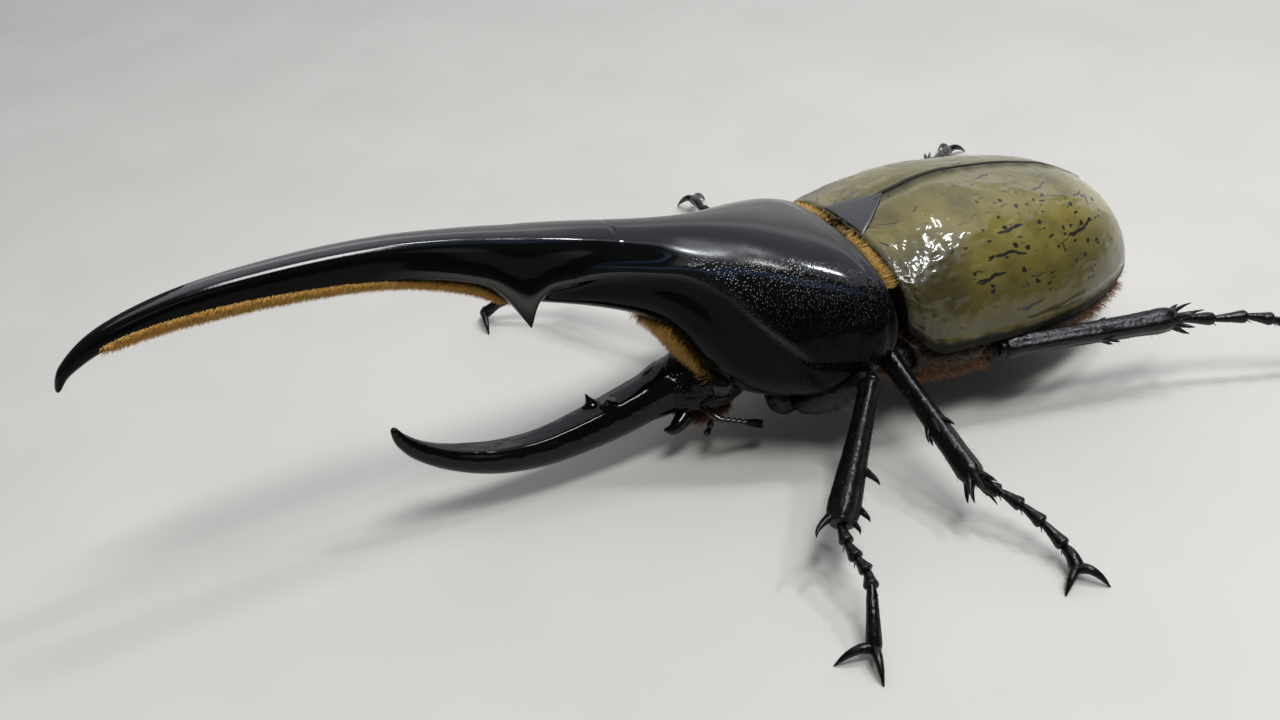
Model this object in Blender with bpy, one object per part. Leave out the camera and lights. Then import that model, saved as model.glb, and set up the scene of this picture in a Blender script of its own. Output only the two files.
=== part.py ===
"""Hercules beetle, a life-size still model that stands on its six feet.

Places are millimetres in the body's own frame: x runs forward from the back edge of the
pronotum, y to the beetle's left, z up from the level of the breast. The finished solids
are moved so that the feet stand on z = 0 under the middle of the model, in metres.
"""

import bpy
import bmesh
import math
from mathutils import Matrix, Vector

MM = 0.001
MERGE_DISTANCE = 0.000002
GAP = 0.3
FLOOR_Z = -5.0
MIDDLE_X = 14.465
MIDDLE_Y = -9.05
MODEL = "hercules_beetle"

# Long horn of the pronotum, from its root to its tip: x, z of the axis, half height, half width
HORN_STATIONS = (
    (30.0, 27.4, 6.7, 6.3), (37.5, 30.3, 5.7, 4.6), (46.5, 33.2, 5.0, 3.6),
    (54.0, 36.3, 3.8, 2.9), (64.0, 38.8, 3.0, 2.5), (75.0, 40.0, 2.6, 2.2),
    (86.0, 40.2, 2.1, 1.8), (95.0, 39.1, 1.45, 1.4), (100.3, 36.5, 0.85, 0.9),
    (102.2, 33.9, 0.3, 0.35),
)
HORN_RINGS = 30
HORN_SIDES = 16
RINGS_TO_TURN = 5
HORN_TOOTH_X = 46.6
HORN_TOOTH_SPREAD = 3.3
HORN_TOOTH_ROOT_Z = 30.6
HORN_TOOTH_TIP_Z = 24.9
HORN_TOOTH_RADII = (2.1, 1.3, 0.12)
HORN_TOOTH_STRETCH = 1.45
HORN_TOOTH_LEAN = 0.4
HORN_TOOTH_INSET = 0.7

# Where along x the horn's flat back fades in and out, and how much squarer it makes the top
FLAT_BACK_FROM = (31.0, 44.0)
FLAT_BACK_TO = (86.0, 97.0)
FLAT_BACK_RISE = 0.42
FLAT_BACK_WIDTH = 0.12

# Lower horn of the head, from its root to its tip, in the same four values
HEAD_HORN_STATIONS = (
    (27.4, 6.4, 3.6, 3.5), (34.0, 4.6, 3.4, 3.2), (40.0, 3.6, 3.1, 2.9), (47.0, 3.1, 2.7, 2.5),
    (53.5, 4.1, 2.3, 2.2), (59.0, 6.3, 1.9, 1.8), (63.4, 9.2, 1.45, 1.4),
    (65.8, 12.0, 1.0, 1.0), (66.7, 14.5, 0.4, 0.45),
)
HEAD_HORN_RINGS = 20
HEAD_HORN_SIDES = 12
HEAD_TOOTH_X = (36.6, 38.6)
HEAD_TOOTH_HEIGHT = 4.0
HEAD_TOOTH_SPREAD = 1.3
HEAD_TOOTH_ROOT_Z = 5.0
HEAD_TOOTH_LEAN = 0.5
HEAD_TOOTH_RADIUS = 1.5

# Pronotum, from the back edge forward: x, crest, half width, level of the widest point, belly
PRONOTUM_STATIONS = (
    (-0.4, 25.0, 18.2, 17.2, 6.0), (1.2, 26.2, 19.3, 16.2, 4.2), (5.0, 27.7, 19.4, 13.9, 3.0),
    (10.0, 29.2, 17.9, 12.0, 2.4), (15.0, 30.5, 15.2, 12.2, 2.6), (20.0, 31.7, 12.0, 14.2, 5.0),
    (23.6, 32.5, 9.6, 18.0, 9.4), (26.4, 33.2, 7.8, 23.0, 17.0), (29.7, 34.0, 6.4, 27.4, 21.0),
)
PRONOTUM_RINGS = 15
PRONOTUM_SIDES = 28
PRONOTUM_ROUNDNESS = {"above": (0.95, 1.0), "below": (1.5, 0.8)}

# Head capsule, from the neck forward: x, z of the axis, half height, half width
HEAD_RINGS = 8
HEAD_SIDES = 14
HEAD_SQUARENESS = 0.95
HEAD_STATIONS = (
    (14.6, 6.8, 3.4, 4.4), (17.5, 6.6, 4.6, 5.8), (21.5, 6.4, 5.1, 6.2), (25.5, 6.2, 4.4, 4.7),
    (28.6, 6.1, 3.9, 3.8),
)
EYE_PLACE = (20.8, 5.9, 8.0)
EYE_RADIUS = 1.9

# Feeler folded back under the cheek: places on the left side from its base, and its radii
ANTENNA_BASE = (24.0, 5.2, 4.3)
ANTENNA_STEM = ((0.0, 0.0, 0.0), (-0.2, 1.2, 0.1), (-0.7, 2.3, 0.0), (-1.3, 3.1, -0.5))
ANTENNA_STEM_RADII = (0.34, 0.36, 0.5, 0.6)
BEAD_STEP = (-0.85, 0.06, -0.42)
BEADS = 5
BEAD_RADII = (0.33, 0.5)
CLUB_WAY = (-0.85, 0.12, -0.3)
LEAF_REACH = (-0.4, 2.5)
LEAF_SPREAD = (0.2, 0.5)
LEAF_RADII = (0.4, 0.75, 0.4)
LEAF_FLATNESS = 0.36

# Jaw, mouth feeler and chin: places on the left side and radii
JAW = ((26.2, 3.0, 1.85), (28.0, 3.9, 0.95), (29.6, 3.4, 0.95))
JAW_RADII = (0.9, 0.85, 0.3)
PALP = ((22.0, 3.9, 2.1), (22.3, 4.5, 1.2), (23.0, 5.3, 0.4), (23.9, 5.9, -0.2))
PALP_RADII = (0.5, 0.42, 0.5, 0.3)
CHIN = ((17.2, 0, 0.5), (19.5, 0, 0.1), (23.0, 0, 0.0), (25.4, 0, 0.5))
CHIN_RADII = (2.0, 2.9, 2.7, 1.7)
CHIN_FLATNESS = 0.33

# Wing cases over the hind body: share of the length with the share of the half width over the
# front part, then the level of the crest
ELYTRA_FRONT = -2.9
ELYTRA_LENGTH = 49.8
ELYTRA_HALF_WIDTH = 20.4
ELYTRA_SHOULDER = ((0.0, 0.84), (0.04, 0.91), (0.15, 0.95), (0.35, 0.98), (0.6, 1.0), (1.0, 1.0))
ELYTRA_ROUNDING_START = 0.32
ELYTRA_ROUNDING = 2.18
ELYTRA_CREST = ((0.0, 24.3), (0.15, 26.7), (0.3, 27.6), (0.45, 26.8), (0.6, 25.3), (0.75, 23.0),
                (0.88, 19.4), (0.96, 14.2), (1.0, 9.1))
ELYTRA_RIM = (10.2, -3.2, 1.5)
ELYTRA_CORNER_RISE = 4.6
ELYTRA_CORNER_SHARE = 0.12
SHOULDER_SQUARENESS = 0.75
SHOULDER_SHARE = 0.4
RIM_EDGE = 0.02
ELYTRA_RINGS = 25
ELYTRA_ARC = 14

TRUNK_ARC = 15
PLATE_STEP = 0.45
PLATE_LAP = 0.15
PLATE_CREST_SHARE = 0.3
TRUNK_ROUNDNESS = (0.8, 0.75)

# Collar behind the pronotum: x, crest, half width; then its widest level and belly
COLLAR_STATIONS = ((-2.3, 22.9, 15.4), (-1.5, 23.6, 16.0), (-0.7, 23.6, 16.0))
COLLAR_LEVELS = (13.0, 2.6)

# Underside of the breast and of the hind body's plates: x, half width, lowest level
BREAST_STATIONS = ((-2.6, 14.2, 1.2), (-8.0, 17.2, 0.2), (-16.0, 18.4, 0.0), (-24.0, 18.8, 0.6))
BREAST_RINGS = 8
BELLY_STATIONS = (
    (-24.3, 18.9, 0.9), (-30.0, 18.6, 0.7), (-36.0, 17.3, 1.2), (-42.0, 15.0, 2.7),
    (-47.0, 11.5, 4.6), (-50.6, 6.9, 6.4),
)

SCUTELLUM_FRONT = -3.3
SCUTELLUM_TIP = -10.0
SCUTELLUM_HALF_WIDTH = 4.9
SCUTELLUM_TOP_Z = 24.7
SCUTELLUM_RISE = 2.15
SCUTELLUM_DEPTH = 2.0
SCUTELLUM_TIP_HALF_WIDTH = 0.35
SCUTELLUM_BEVEL = 0.45

# Legs: hip, knee, ankle, the joints of the foot and the two claw tips, then the radii of thigh,
# shin and shin end, the kind of teeth, and the way they point
CLAW_Z = -4.95
CLAW_RADII = (0.7, 0.56, 0.4, 0.22)
CLAW_ARCH = 1.15
CLAW_ROOT_SHARE = 0.93
COXA_SHARES = (0.0, 0.35, 0.8, 1.0)
COXA_RADII = (1.7, 2.7, 2.4, 1.4)
THIGH_SHARES = (0.0, 0.12, 0.4, 0.75, 0.94, 1.0)
THIGH_WIDTHS = (0.45, 0.78, 1.0, 0.92, 0.74, 0.5)
SHIN_SHARES = (0.0, 0.05, 0.14, 0.3, 0.55, 0.8, 0.93, 1.0)
SHIN_WIDTHS = {
    "front": (0.52, 0.84, 0.76, 0.74, 0.92, 1.1, 1.13, 0.78),
    "back": (0.55, 0.92, 0.86, 0.82, 0.94, 1.02, 1.08, 0.75),
}
FOOT_JOINT_SHARES = (0.08, 0.8, 0.97)
FOOT_JOINT_RADII = (0.5, 0.95, 0.68)
LAST_JOINT_RADII = (0.58, 0.86, 0.95)
SPIKE_TIP_RADIUS = 0.06

# Teeth of a front shin: share of its length with reach; its inner spur; then the rings of
# spines of the other shins, share, reach and count, and their pair of spurs
FRONT_TEETH = ((0.62, 2.2), (0.88, 1.9), (0.97, 1.0))
FRONT_TOOTH_SLANT = 1.7
FRONT_TOOTH_RADIUS = 0.95
INNER_SPUR = (0.93, 0.5, 0.9, 4.3, 0.75)
SPINE_RINGS = ((0.56, 1.2, 5), (0.97, 1.4, 6))
SPINE_FAN = 1.3
SPINE_RADIUS = 0.62
SPUR_SPREAD = 0.9
SPUR = (0.96, 0.7, 0.6, 4.6, 0.6)
LEGS = {
    "front_left": {
        "coxa": (12.5, 5.2, 3.6), "hip": (10.4, 9.0, 2.2),
        "knee": (4.9, 20.0, 11.1), "ankle": (20.3, 36.0, 3.8),
        "foot": ((20.9, 38.5, 2.9), (21.1, 41.0, 2.5), (20.9, 43.0, 1.9), (21.8, 45.2, 1.5)),
        "sole": (24.6, 50.0, -3.6), "claws": ((29.2, 48.4, CLAW_Z), (25.9, 53.9, CLAW_Z)),
        "thickness": (2.5, 1.9, 1.65), "teeth": "front", "toward": (-1.0, 0.35, -0.1),
    },
    "front_right": {
        "coxa": (12.5, -5.2, 3.6), "hip": (10.4, -9.0, 2.2),
        "knee": (15.5, -23.0, 11.0), "ankle": (27.0, -41.5, 4.5),
        "foot": ((29.0, -43.3, 3.4), (31.0, -45.0, 2.3), (33.0, -46.3, 1.2), (35.1, -47.6, 0.3)),
        "sole": (40.1, -51.0, -3.2), "claws": ((40.6, -46.6, CLAW_Z), (38.2, -53.6, CLAW_Z)),
        "thickness": (2.5, 1.9, 1.65), "teeth": "front", "toward": (0.4, 0.0, 1.0),
    },
    "middle_left": {
        "coxa": (-9.5, 5.6, 2.8), "hip": (-12.0, 9.2, 2.2),
        "knee": (0.2, 15.8, 11.8), "ankle": (-0.8, 36.0, 1.9),
        "foot": ((-2.6, 38.8, 1.2), (-3.9, 41.6, 0.3), (-4.8, 44.7, -0.8), (-5.4, 48.2, -2.3)),
        "sole": (-5.0, 51.2, -3.6), "claws": ((-1.6, 53.0, CLAW_Z), (-7.3, 54.5, CLAW_Z)),
        "thickness": (2.2, 1.7, 1.55), "teeth": "back", "toward": (0.9, 0.2, -0.2),
    },
    "middle_right": {
        "coxa": (-9.5, -5.6, 2.8), "hip": (-12.0, -9.2, 2.2),
        "knee": (-10.5, -27.0, 9.2), "ankle": (-13.0, -48.8, 0.8),
        "foot": ((-12.7, -52.0, -0.4), (-12.2, -55.3, -1.0), (-11.5, -58.4, -1.2), (-10.4, -61.6, -1.3)),
        "sole": (-11.6, -68.0, -1.9), "claws": ((-10.0, -72.6, CLAW_Z), (-16.0, -71.9, CLAW_Z)),
        "thickness": (2.2, 1.7, 1.55), "teeth": "back", "toward": (0.9, -0.2, -0.2),
    },
    "hind_left": {
        "coxa": (-18.6, 6.0, 2.8), "hip": (-22.6, 8.4, 2.0),
        "knee": (-17.6, 18.9, 7.3), "ankle": (-43.9, 26.0, 7.1),
        "foot": ((-49.9, 28.0, 6.0), (-54.2, 30.0, 6.0), (-57.6, 31.7, 5.2), (-61.0, 33.2, 3.4)),
        "sole": (-68.0, 35.6, -3.4), "claws": ((-71.8, 39.4, CLAW_Z), (-73.4, 34.0, CLAW_Z)),
        "thickness": (2.6, 1.9, 1.5), "teeth": "back", "toward": (0.1, 0.2, -1.0),
    },
    "hind_right": {
        "coxa": (-18.6, -6.0, 2.8), "hip": (-22.6, -8.4, 2.4),
        "knee": (-30.5, -27.0, 9.0), "ankle": (-52.0, -43.5, 3.6),
        "foot": ((-55.5, -46.6, 2.5), (-58.4, -49.2, 1.5), (-61.0, -51.6, 0.5), (-63.4, -53.9, -0.5)),
        "sole": (-68.0, -59.2, -3.4), "claws": ((-72.9, -59.6, CLAW_Z), (-69.4, -64.0, CLAW_Z)),
        "thickness": (2.6, 1.9, 1.5), "teeth": "back", "toward": (0.1, -0.2, -1.0),
    },
}
LEG_SIDES = 10
FOOT_SIDES = 8


def prepare_scene():
    """Empty the file and make the model's own collection."""
    for thing in list(bpy.data.objects):
        bpy.data.objects.remove(thing, do_unlink=True)
    for name in (MODEL, "cutters"):
        collection = bpy.data.collections.new(name)
        bpy.context.scene.collection.children.link(collection)


def finish_material(name, colour, roughness, metallic=0.0):
    """A Principled material in the part's own colour."""
    material = bpy.data.materials.get(name)
    if material is None:
        material = bpy.data.materials.new(name)
        material.use_nodes = True
        shader = material.node_tree.nodes["Principled BSDF"]
        shader.inputs["Base Color"].default_value = (*colour, 1.0)
        shader.inputs["Roughness"].default_value = roughness
        shader.inputs["Metallic"].default_value = metallic
    return material


FINISHES = {
    "black_shell": ((0.008, 0.008, 0.009), 0.12),
    "olive_shell": ((0.22, 0.2, 0.05), 0.22),
    "dark_skin": ((0.02, 0.014, 0.008), 0.45),
    "leg_shell": ((0.012, 0.012, 0.012), 0.28),
    "eye": ((0.01, 0.008, 0.006), 0.08),
    "mouth": ((0.09, 0.035, 0.012), 0.4),
}


def model_place(point):
    """Body frame in millimetres to the model's place in metres."""
    return Vector((point[0] - MIDDLE_X, point[1] - MIDDLE_Y, point[2] - FLOOR_Z)) * MM


def smooth_row(table, place):
    """The table's row at a fractional row number, on a Catmull-Rom curve."""
    last = len(table) - 1
    first = min(int(place), last - 1)
    t = place - first
    p0, p1, p2, p3 = (table[min(max(first + k, 0), last)] for k in (-1, 0, 1, 2))
    return tuple(
        0.5 * (2 * b + (c - a) * t + (2 * a - 5 * b + 4 * c - d) * t ** 2
               + (3 * b - a - 3 * c + d) * t ** 3)
        for a, b, c, d in zip(p0, p1, p2, p3))


def smooth_rows(table, count):
    """A number of evenly spaced rows along the table, its two ends included."""
    last = len(table) - 1
    return [smooth_row(table, last * i / (count - 1)) for i in range(count)]


def value_at(shape, t):
    """Straight-line value of a shape's table at t."""
    for (t0, v0), (t1, v1) in zip(shape, shape[1:]):
        if t <= t1:
            return v0 + (v1 - v0) * (t - t0) / (t1 - t0)
    return shape[-1][1]


def power(value, exponent):
    """A signed power, which squares or sharpens an oval."""
    return math.copysign(abs(value) ** exponent, value)


def oval(centre, across, up, half_across, half_up, sides, squareness=1.0, flat_back=0.0):
    """One ring of points round a centre; a flat back makes its upper half squarer."""
    ring = []
    for i in range(sides):
        turn = 2 * math.pi * (i + 0.5) / sides
        flat = flat_back if math.sin(turn) > 0 else 0.0
        width = half_across * power(math.cos(turn), squareness - FLAT_BACK_WIDTH * flat)
        rise = half_up * power(math.sin(turn), squareness - FLAT_BACK_RISE * flat)
        ring.append(centre + across * width + up * rise)
    return ring


def loft(name, rings, finish):
    """Skin a row of unlike rings of equal point counts and close both ends on a middle point."""
    mesh_maker = bmesh.new()
    rows = [[mesh_maker.verts.new(model_place(point)) for point in ring] for ring in rings]
    sides = len(rows[0])
    for row, following in zip(rows, rows[1:]):
        for i in range(sides):
            j = (i + 1) % sides
            mesh_maker.faces.new((row[i], row[j], following[j], following[i]))
    for row in (rows[0], rows[-1]):
        middle = mesh_maker.verts.new(sum((v.co for v in row), Vector()) / sides)
        for i in range(sides):
            mesh_maker.faces.new((row[i], row[(i + 1) % sides], middle))
    bmesh.ops.recalc_face_normals(mesh_maker, faces=mesh_maker.faces)
    return finished_object(name, mesh_maker, finish)


def finished_object(name, mesh_maker, finish):
    """Turn the working mesh into a named, smooth-shaded object of the model."""
    mesh = bpy.data.meshes.new(name)
    mesh_maker.to_mesh(mesh)
    mesh_maker.free()
    mesh.shade_smooth()
    mesh.materials.append(finish_material(finish, *FINISHES[finish]))
    thing = bpy.data.objects.new(name, mesh)
    bpy.data.collections[MODEL].objects.link(thing)
    return thing


def path_frames(points):
    """Across and up vectors at each point of a path, carried along it without twist."""
    count = len(points)
    frames = []
    up = Vector((0, 0, 1))
    for i in range(count):
        ahead = (points[min(i + 1, count - 1)] - points[max(i - 1, 0)]).normalized()
        across = ahead.cross(up)
        if across.length < 0.05:
            across = ahead.cross(Vector((1, 0, 0)))
        across.normalize()
        up = across.cross(ahead).normalized()
        frames.append((across, up))
    return frames


def limb(name, points, radii, sides, finish, grow=0.0, flatness=1.0):
    """A tapered round form along a path; grow makes the same form larger for a clearance cut."""
    points = [Vector(p) for p in points]
    if grow:
        first = (points[1] - points[0]).normalized()
        last = (points[-1] - points[-2]).normalized()
        points[0] = points[0] - first * grow
        points[-1] = points[-1] + last * grow
    rings = []
    for point, radius, (across, up) in zip(points, radii, path_frames(points)):
        size = radius + grow
        rings.append(oval(point, across, up, size, size * flatness, sides))
    return loft(name, rings, finish)


def spike(root, tip, root_radius, sides=5):
    """A tapered spine from a cone, its root sunk in what it grows from."""
    root, tip = Vector(root), Vector(tip)
    direction = tip - root
    mesh_maker = bmesh.new()
    bmesh.ops.create_cone(mesh_maker, cap_ends=True, segments=sides, radius1=root_radius * MM,
                          radius2=SPIKE_TIP_RADIUS * MM, depth=direction.length * MM)
    turn = direction.to_track_quat("Z", "Y").to_matrix().to_4x4()
    place = Matrix.Translation(model_place((root + tip) / 2)) @ turn
    bmesh.ops.transform(mesh_maker, matrix=place, verts=mesh_maker.verts)
    return finished_object("spike", mesh_maker, "leg_shell")


def apply_modifiers(thing):
    """Replace the object's mesh with what its modifiers make of it."""
    depsgraph = bpy.context.evaluated_depsgraph_get()
    made = bpy.data.meshes.new_from_object(thing.evaluated_get(depsgraph))
    thing.modifiers.clear()
    thing.data = made


def keep_largest_shell(thing):
    """Drop loose scraps and sealed hollows: keep the largest closed surface."""
    mesh_maker = bmesh.new()
    mesh_maker.from_mesh(thing.data)
    bmesh.ops.triangulate(mesh_maker, faces=mesh_maker.faces)
    bmesh.ops.remove_doubles(mesh_maker, verts=mesh_maker.verts, dist=MERGE_DISTANCE)
    mesh_maker.faces.ensure_lookup_table()
    unseen = set(mesh_maker.faces)
    shells = []
    while unseen:
        stack = [unseen.pop()]
        shell = list(stack)
        while stack:
            face = stack.pop()
            for edge in face.edges:
                for other in edge.link_faces:
                    if other in unseen:
                        unseen.discard(other)
                        stack.append(other)
                        shell.append(other)
        shells.append(shell)
    shells.sort(key=lambda shell: sum(face.calc_area() for face in shell))
    for shell in shells[:-1]:
        bmesh.ops.delete(mesh_maker, geom=shell, context="FACES")
    bmesh.ops.recalc_face_normals(mesh_maker, faces=mesh_maker.faces)
    mesh_maker.to_mesh(thing.data)
    mesh_maker.free()


def boolean(thing, pieces, operation):
    """Join or cut the object with a collection of closed pieces, which are then removed."""
    workshop = bpy.data.collections.new("workshop")
    bpy.context.scene.collection.children.link(workshop)
    for piece in pieces:
        for holder in list(piece.users_collection):
            holder.objects.unlink(piece)
        workshop.objects.link(piece)
    change = thing.modifiers.new("change", "BOOLEAN")
    change.operand_type = "COLLECTION"
    change.collection = workshop
    change.operation = operation
    change.solver = "EXACT"
    apply_modifiers(thing)
    for piece in pieces:
        bpy.data.objects.remove(piece, do_unlink=True)
    bpy.data.collections.remove(workshop)
    keep_largest_shell(thing)


def fuse(thing, pieces):
    boolean(thing, pieces, "UNION")


def carve(thing, pieces):
    boolean(thing, pieces, "DIFFERENCE")


def stand_flat(thing):
    """Plane the object off at the floor, so that it stands on small flats."""
    mesh_maker = bmesh.new()
    mesh_maker.from_mesh(thing.data)
    everything = mesh_maker.verts[:] + mesh_maker.edges[:] + mesh_maker.faces[:]
    bmesh.ops.bisect_plane(mesh_maker, geom=everything, dist=0.000001, plane_co=(0, 0, 0),
                           plane_no=(0, 0, 1), clear_inner=True)
    open_edges = [edge for edge in mesh_maker.edges if edge.is_boundary]
    bmesh.ops.holes_fill(mesh_maker, edges=open_edges, sides=0)
    mesh_maker.to_mesh(thing.data)
    mesh_maker.free()
    keep_largest_shell(thing)


def faded_in(value, start, end):
    """Share from 0 to 1 of the way from start to end, with soft ends."""
    share = min(max((value - start) / (end - start), 0.0), 1.0)
    return share * share * (3 - 2 * share)


def station_rings(stations, count, sides, squareness=1.0, grow=0.0, flat_back=False):
    """Rings square to a curved axis in the middle plane, upright at the root."""
    rows = smooth_rows(stations, count)
    rings = []
    for i, (x, z, half_height, half_width) in enumerate(rows):
        before, after = rows[max(i - 1, 0)], rows[min(i + 1, count - 1)]
        along = Vector((after[0] - before[0], 0, after[1] - before[1])).normalized()
        along = Vector((1, 0, 0)).lerp(along, min(i / RINGS_TO_TURN, 1.0)).normalized()
        up = Vector((-along.z, 0, along.x))
        reach = {0: -grow, count - 1: grow}.get(i, 0.0)
        flat = faded_in(x, *FLAT_BACK_FROM) * (1 - faded_in(x, *FLAT_BACK_TO)) * flat_back
        rings.append(oval(Vector((x, 0, z)) + along * reach, Vector((0, 1, 0)), up,
                          half_width + grow, half_height + grow, sides, squareness, flat))
    return rings


def thoracic_horn():
    """The long horn, with its pair of side teeth pointing down and out."""
    rings = station_rings(HORN_STATIONS, HORN_RINGS, HORN_SIDES, flat_back=True)
    horn = loft("thoracic_horn", rings, "black_shell")
    teeth = []
    for side in (1, -1):
        back_x = HORN_TOOTH_X + HORN_TOOTH_LEAN
        half_way = (HORN_TOOTH_ROOT_Z + HORN_TOOTH_TIP_Z) / 2
        root = (back_x, side * (HORN_TOOTH_SPREAD - HORN_TOOTH_INSET), HORN_TOOTH_ROOT_Z)
        bend = (back_x, side * HORN_TOOTH_SPREAD, half_way)
        tip = (HORN_TOOTH_X, side * HORN_TOOTH_SPREAD, HORN_TOOTH_TIP_Z)
        teeth.append(limb("tooth", (root, bend, tip), HORN_TOOTH_RADII, 8, "black_shell",
                          flatness=HORN_TOOTH_STRETCH))
    fuse(horn, teeth)


def pronotum_ring(row):
    """One dome-shaped ring of the pronotum, wider above than below."""
    x, crest, half_width, wide_z, belly = row
    ring = []
    for i in range(PRONOTUM_SIDES):
        turn = 2 * math.pi * (i + 0.5) / PRONOTUM_SIDES
        sine, cosine = math.sin(turn), math.cos(turn)
        across, upright = PRONOTUM_ROUNDNESS["above" if sine > 0 else "below"]
        rise = (crest - wide_z if sine > 0 else wide_z - belly) * power(sine, upright)
        ring.append(Vector((x, half_width * power(cosine, across), wide_z + rise)))
    return ring


def pronotum():
    rings = [pronotum_ring(row) for row in smooth_rows(PRONOTUM_STATIONS, PRONOTUM_RINGS)]
    return loft("pronotum", rings, "black_shell")


def head_form(name, grow=0.0):
    rings = station_rings(HEAD_STATIONS, HEAD_RINGS, HEAD_SIDES, HEAD_SQUARENESS, grow)
    return loft(name, rings, "black_shell")


def head_horn_form(name, grow=0.0):
    rings = station_rings(HEAD_HORN_STATIONS, HEAD_HORN_RINGS, HEAD_HORN_SIDES, 1.0, grow)
    return loft(name, rings, "black_shell")


def eye_form(name, side, grow=0.0):
    """A ball for one eye."""
    mesh_maker = bmesh.new()
    bmesh.ops.create_uvsphere(mesh_maker, u_segments=12, v_segments=8, radius=(EYE_RADIUS + grow) * MM)
    x, y, z = EYE_PLACE
    bmesh.ops.translate(mesh_maker, verts=mesh_maker.verts, vec=model_place((x, side * y, z)))
    return finished_object(name, mesh_maker, "eye")


def on_side(place, side):
    """A place named for the left side, or its mirror image on the right."""
    return Vector((place[0], side * place[1], place[2]))


def antenna(name, side):
    """Elbowed feeler: a long first joint, small beads, and a club of three leaves."""
    base = on_side(ANTENNA_BASE, side)
    step = on_side(BEAD_STEP, side)
    points = [base + on_side(place, side) for place in ANTENNA_STEM]
    radii = list(ANTENNA_STEM_RADII)
    elbow = points[-1]
    for k in range(BEADS):
        points += [elbow + step * (k + 0.35), elbow + step * (k + 0.8)]
        radii += BEAD_RADII
    stalk = limb(name, points, radii, 6, "dark_skin")
    club_way = on_side(CLUB_WAY, side).normalized()
    back, reach = LEAF_REACH
    leaves = []
    for k in (-1, 0, 1):
        root = points[-1] + club_way * back + Vector((0, 0, LEAF_SPREAD[0] * k))
        tip = points[-1] + club_way * reach + Vector((0, 0, LEAF_SPREAD[1] * k))
        leaves.append(limb("leaf", (root, root.lerp(tip, 0.55), tip), LEAF_RADII, 6,
                           "dark_skin", flatness=LEAF_FLATNESS))
    fuse(stalk, leaves)


def mouth_parts():
    """Biting jaws, feelers of the mouth and the brush-like chin under the head."""
    for side, word in ((1, "left"), (-1, "right")):
        limb("mandible_" + word, [on_side(p, side) for p in JAW], JAW_RADII, 7, "black_shell")
        limb("palp_" + word, [on_side(p, side) for p in PALP], PALP_RADII, 6, "dark_skin")
    limb("chin", CHIN, CHIN_RADII, 10, "mouth", flatness=CHIN_FLATNESS)


def elytra_half_width(t):
    """Half width of the wing cases at a share t of their length, rounded off behind."""
    back = max((t - ELYTRA_ROUNDING_START) / (1 - ELYTRA_ROUNDING_START), 0.0)
    closing = max(1 - back ** ELYTRA_ROUNDING, 0.0) ** (1 / ELYTRA_ROUNDING)
    return ELYTRA_HALF_WIDTH * value_at(ELYTRA_SHOULDER, t) * closing


def elytra_crest(t):
    """Level of the wing cases' crest at a share t of their length."""
    for place, ((t0, _), (t1, _)) in enumerate(zip(ELYTRA_CREST, ELYTRA_CREST[1:])):
        if t <= t1:
            return smooth_row(ELYTRA_CREST, place + (t - t0) / (t1 - t0))[1]
    return ELYTRA_CREST[-1][1]


def rim_level(x):
    """Level of the wing cases' lower rim at a place along the body."""
    t = (ELYTRA_FRONT - x) / ELYTRA_LENGTH
    level, slope, bend = ELYTRA_RIM
    corner = max(1 - max(t, 0.0) / ELYTRA_CORNER_SHARE, 0.0) ** 2
    return level + slope * t + bend * t * t + ELYTRA_CORNER_RISE * corner


def elytron(name, side):
    """One wing case: half a dome that meets its twin along the middle."""
    rings = []
    for i in range(ELYTRA_RINGS):
        t = 0.995 * (0.5 - 0.5 * math.cos(math.pi * i / (ELYTRA_RINGS - 1)))
        x = ELYTRA_FRONT - ELYTRA_LENGTH * t
        rim = rim_level(x)
        half_width = elytra_half_width(t)
        height = elytra_crest(t) - rim
        squareness = SHOULDER_SQUARENESS + (1 - SHOULDER_SQUARENESS) * min(t / SHOULDER_SHARE, 1.0)
        ring = [Vector((x, side * GAP / 2, rim))]
        for k in range(ELYTRA_ARC):
            turn = math.pi / 2 * k / (ELYTRA_ARC - 1)
            y = max(half_width * power(math.cos(turn), squareness), GAP / 2)
            z = rim + height * power(math.sin(turn), squareness)
            ring.append(Vector((x, side * y, z + RIM_EDGE)))
        rings.append(ring)
    return loft(name, rings, "olive_shell")


def scutellum_form(name, grow=0.0):
    """The small shield between the roots of the wing cases, level with their backs."""
    rings = []
    for t in (0.0, 0.25, 0.5, 0.75, 1.0):
        x = (SCUTELLUM_FRONT + grow) + (SCUTELLUM_TIP - SCUTELLUM_FRONT - 2 * grow) * t
        half_width = SCUTELLUM_HALF_WIDTH * (1 - t ** 1.25) + SCUTELLUM_TIP_HALF_WIDTH + grow
        top = SCUTELLUM_TOP_Z + SCUTELLUM_RISE * t ** 0.8 + grow
        bottom = top - SCUTELLUM_DEPTH - 2 * grow
        ring = [Vector((x, -half_width, bottom)), Vector((x, half_width, bottom)),
                Vector((x, half_width, top - SCUTELLUM_BEVEL)), Vector((x, half_width / 2, top)),
                Vector((x, -half_width / 2, top)), Vector((x, -half_width, top - SCUTELLUM_BEVEL))]
        rings.append(ring)
    return loft(name, rings, "black_shell")


def trunk_ring(row):
    """A ring of the underside: flat on top against the wing cases, rounded below."""
    x, half_width, belly = row
    top = rim_level(x) - GAP
    across, upright = TRUNK_ROUNDNESS
    ring = []
    for k in range(TRUNK_ARC):
        turn = math.pi * k / (TRUNK_ARC - 1)
        ring.append(Vector((x, half_width * power(math.cos(turn), across),
                            top - (top - belly) * power(math.sin(turn), upright))))
    return ring


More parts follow.
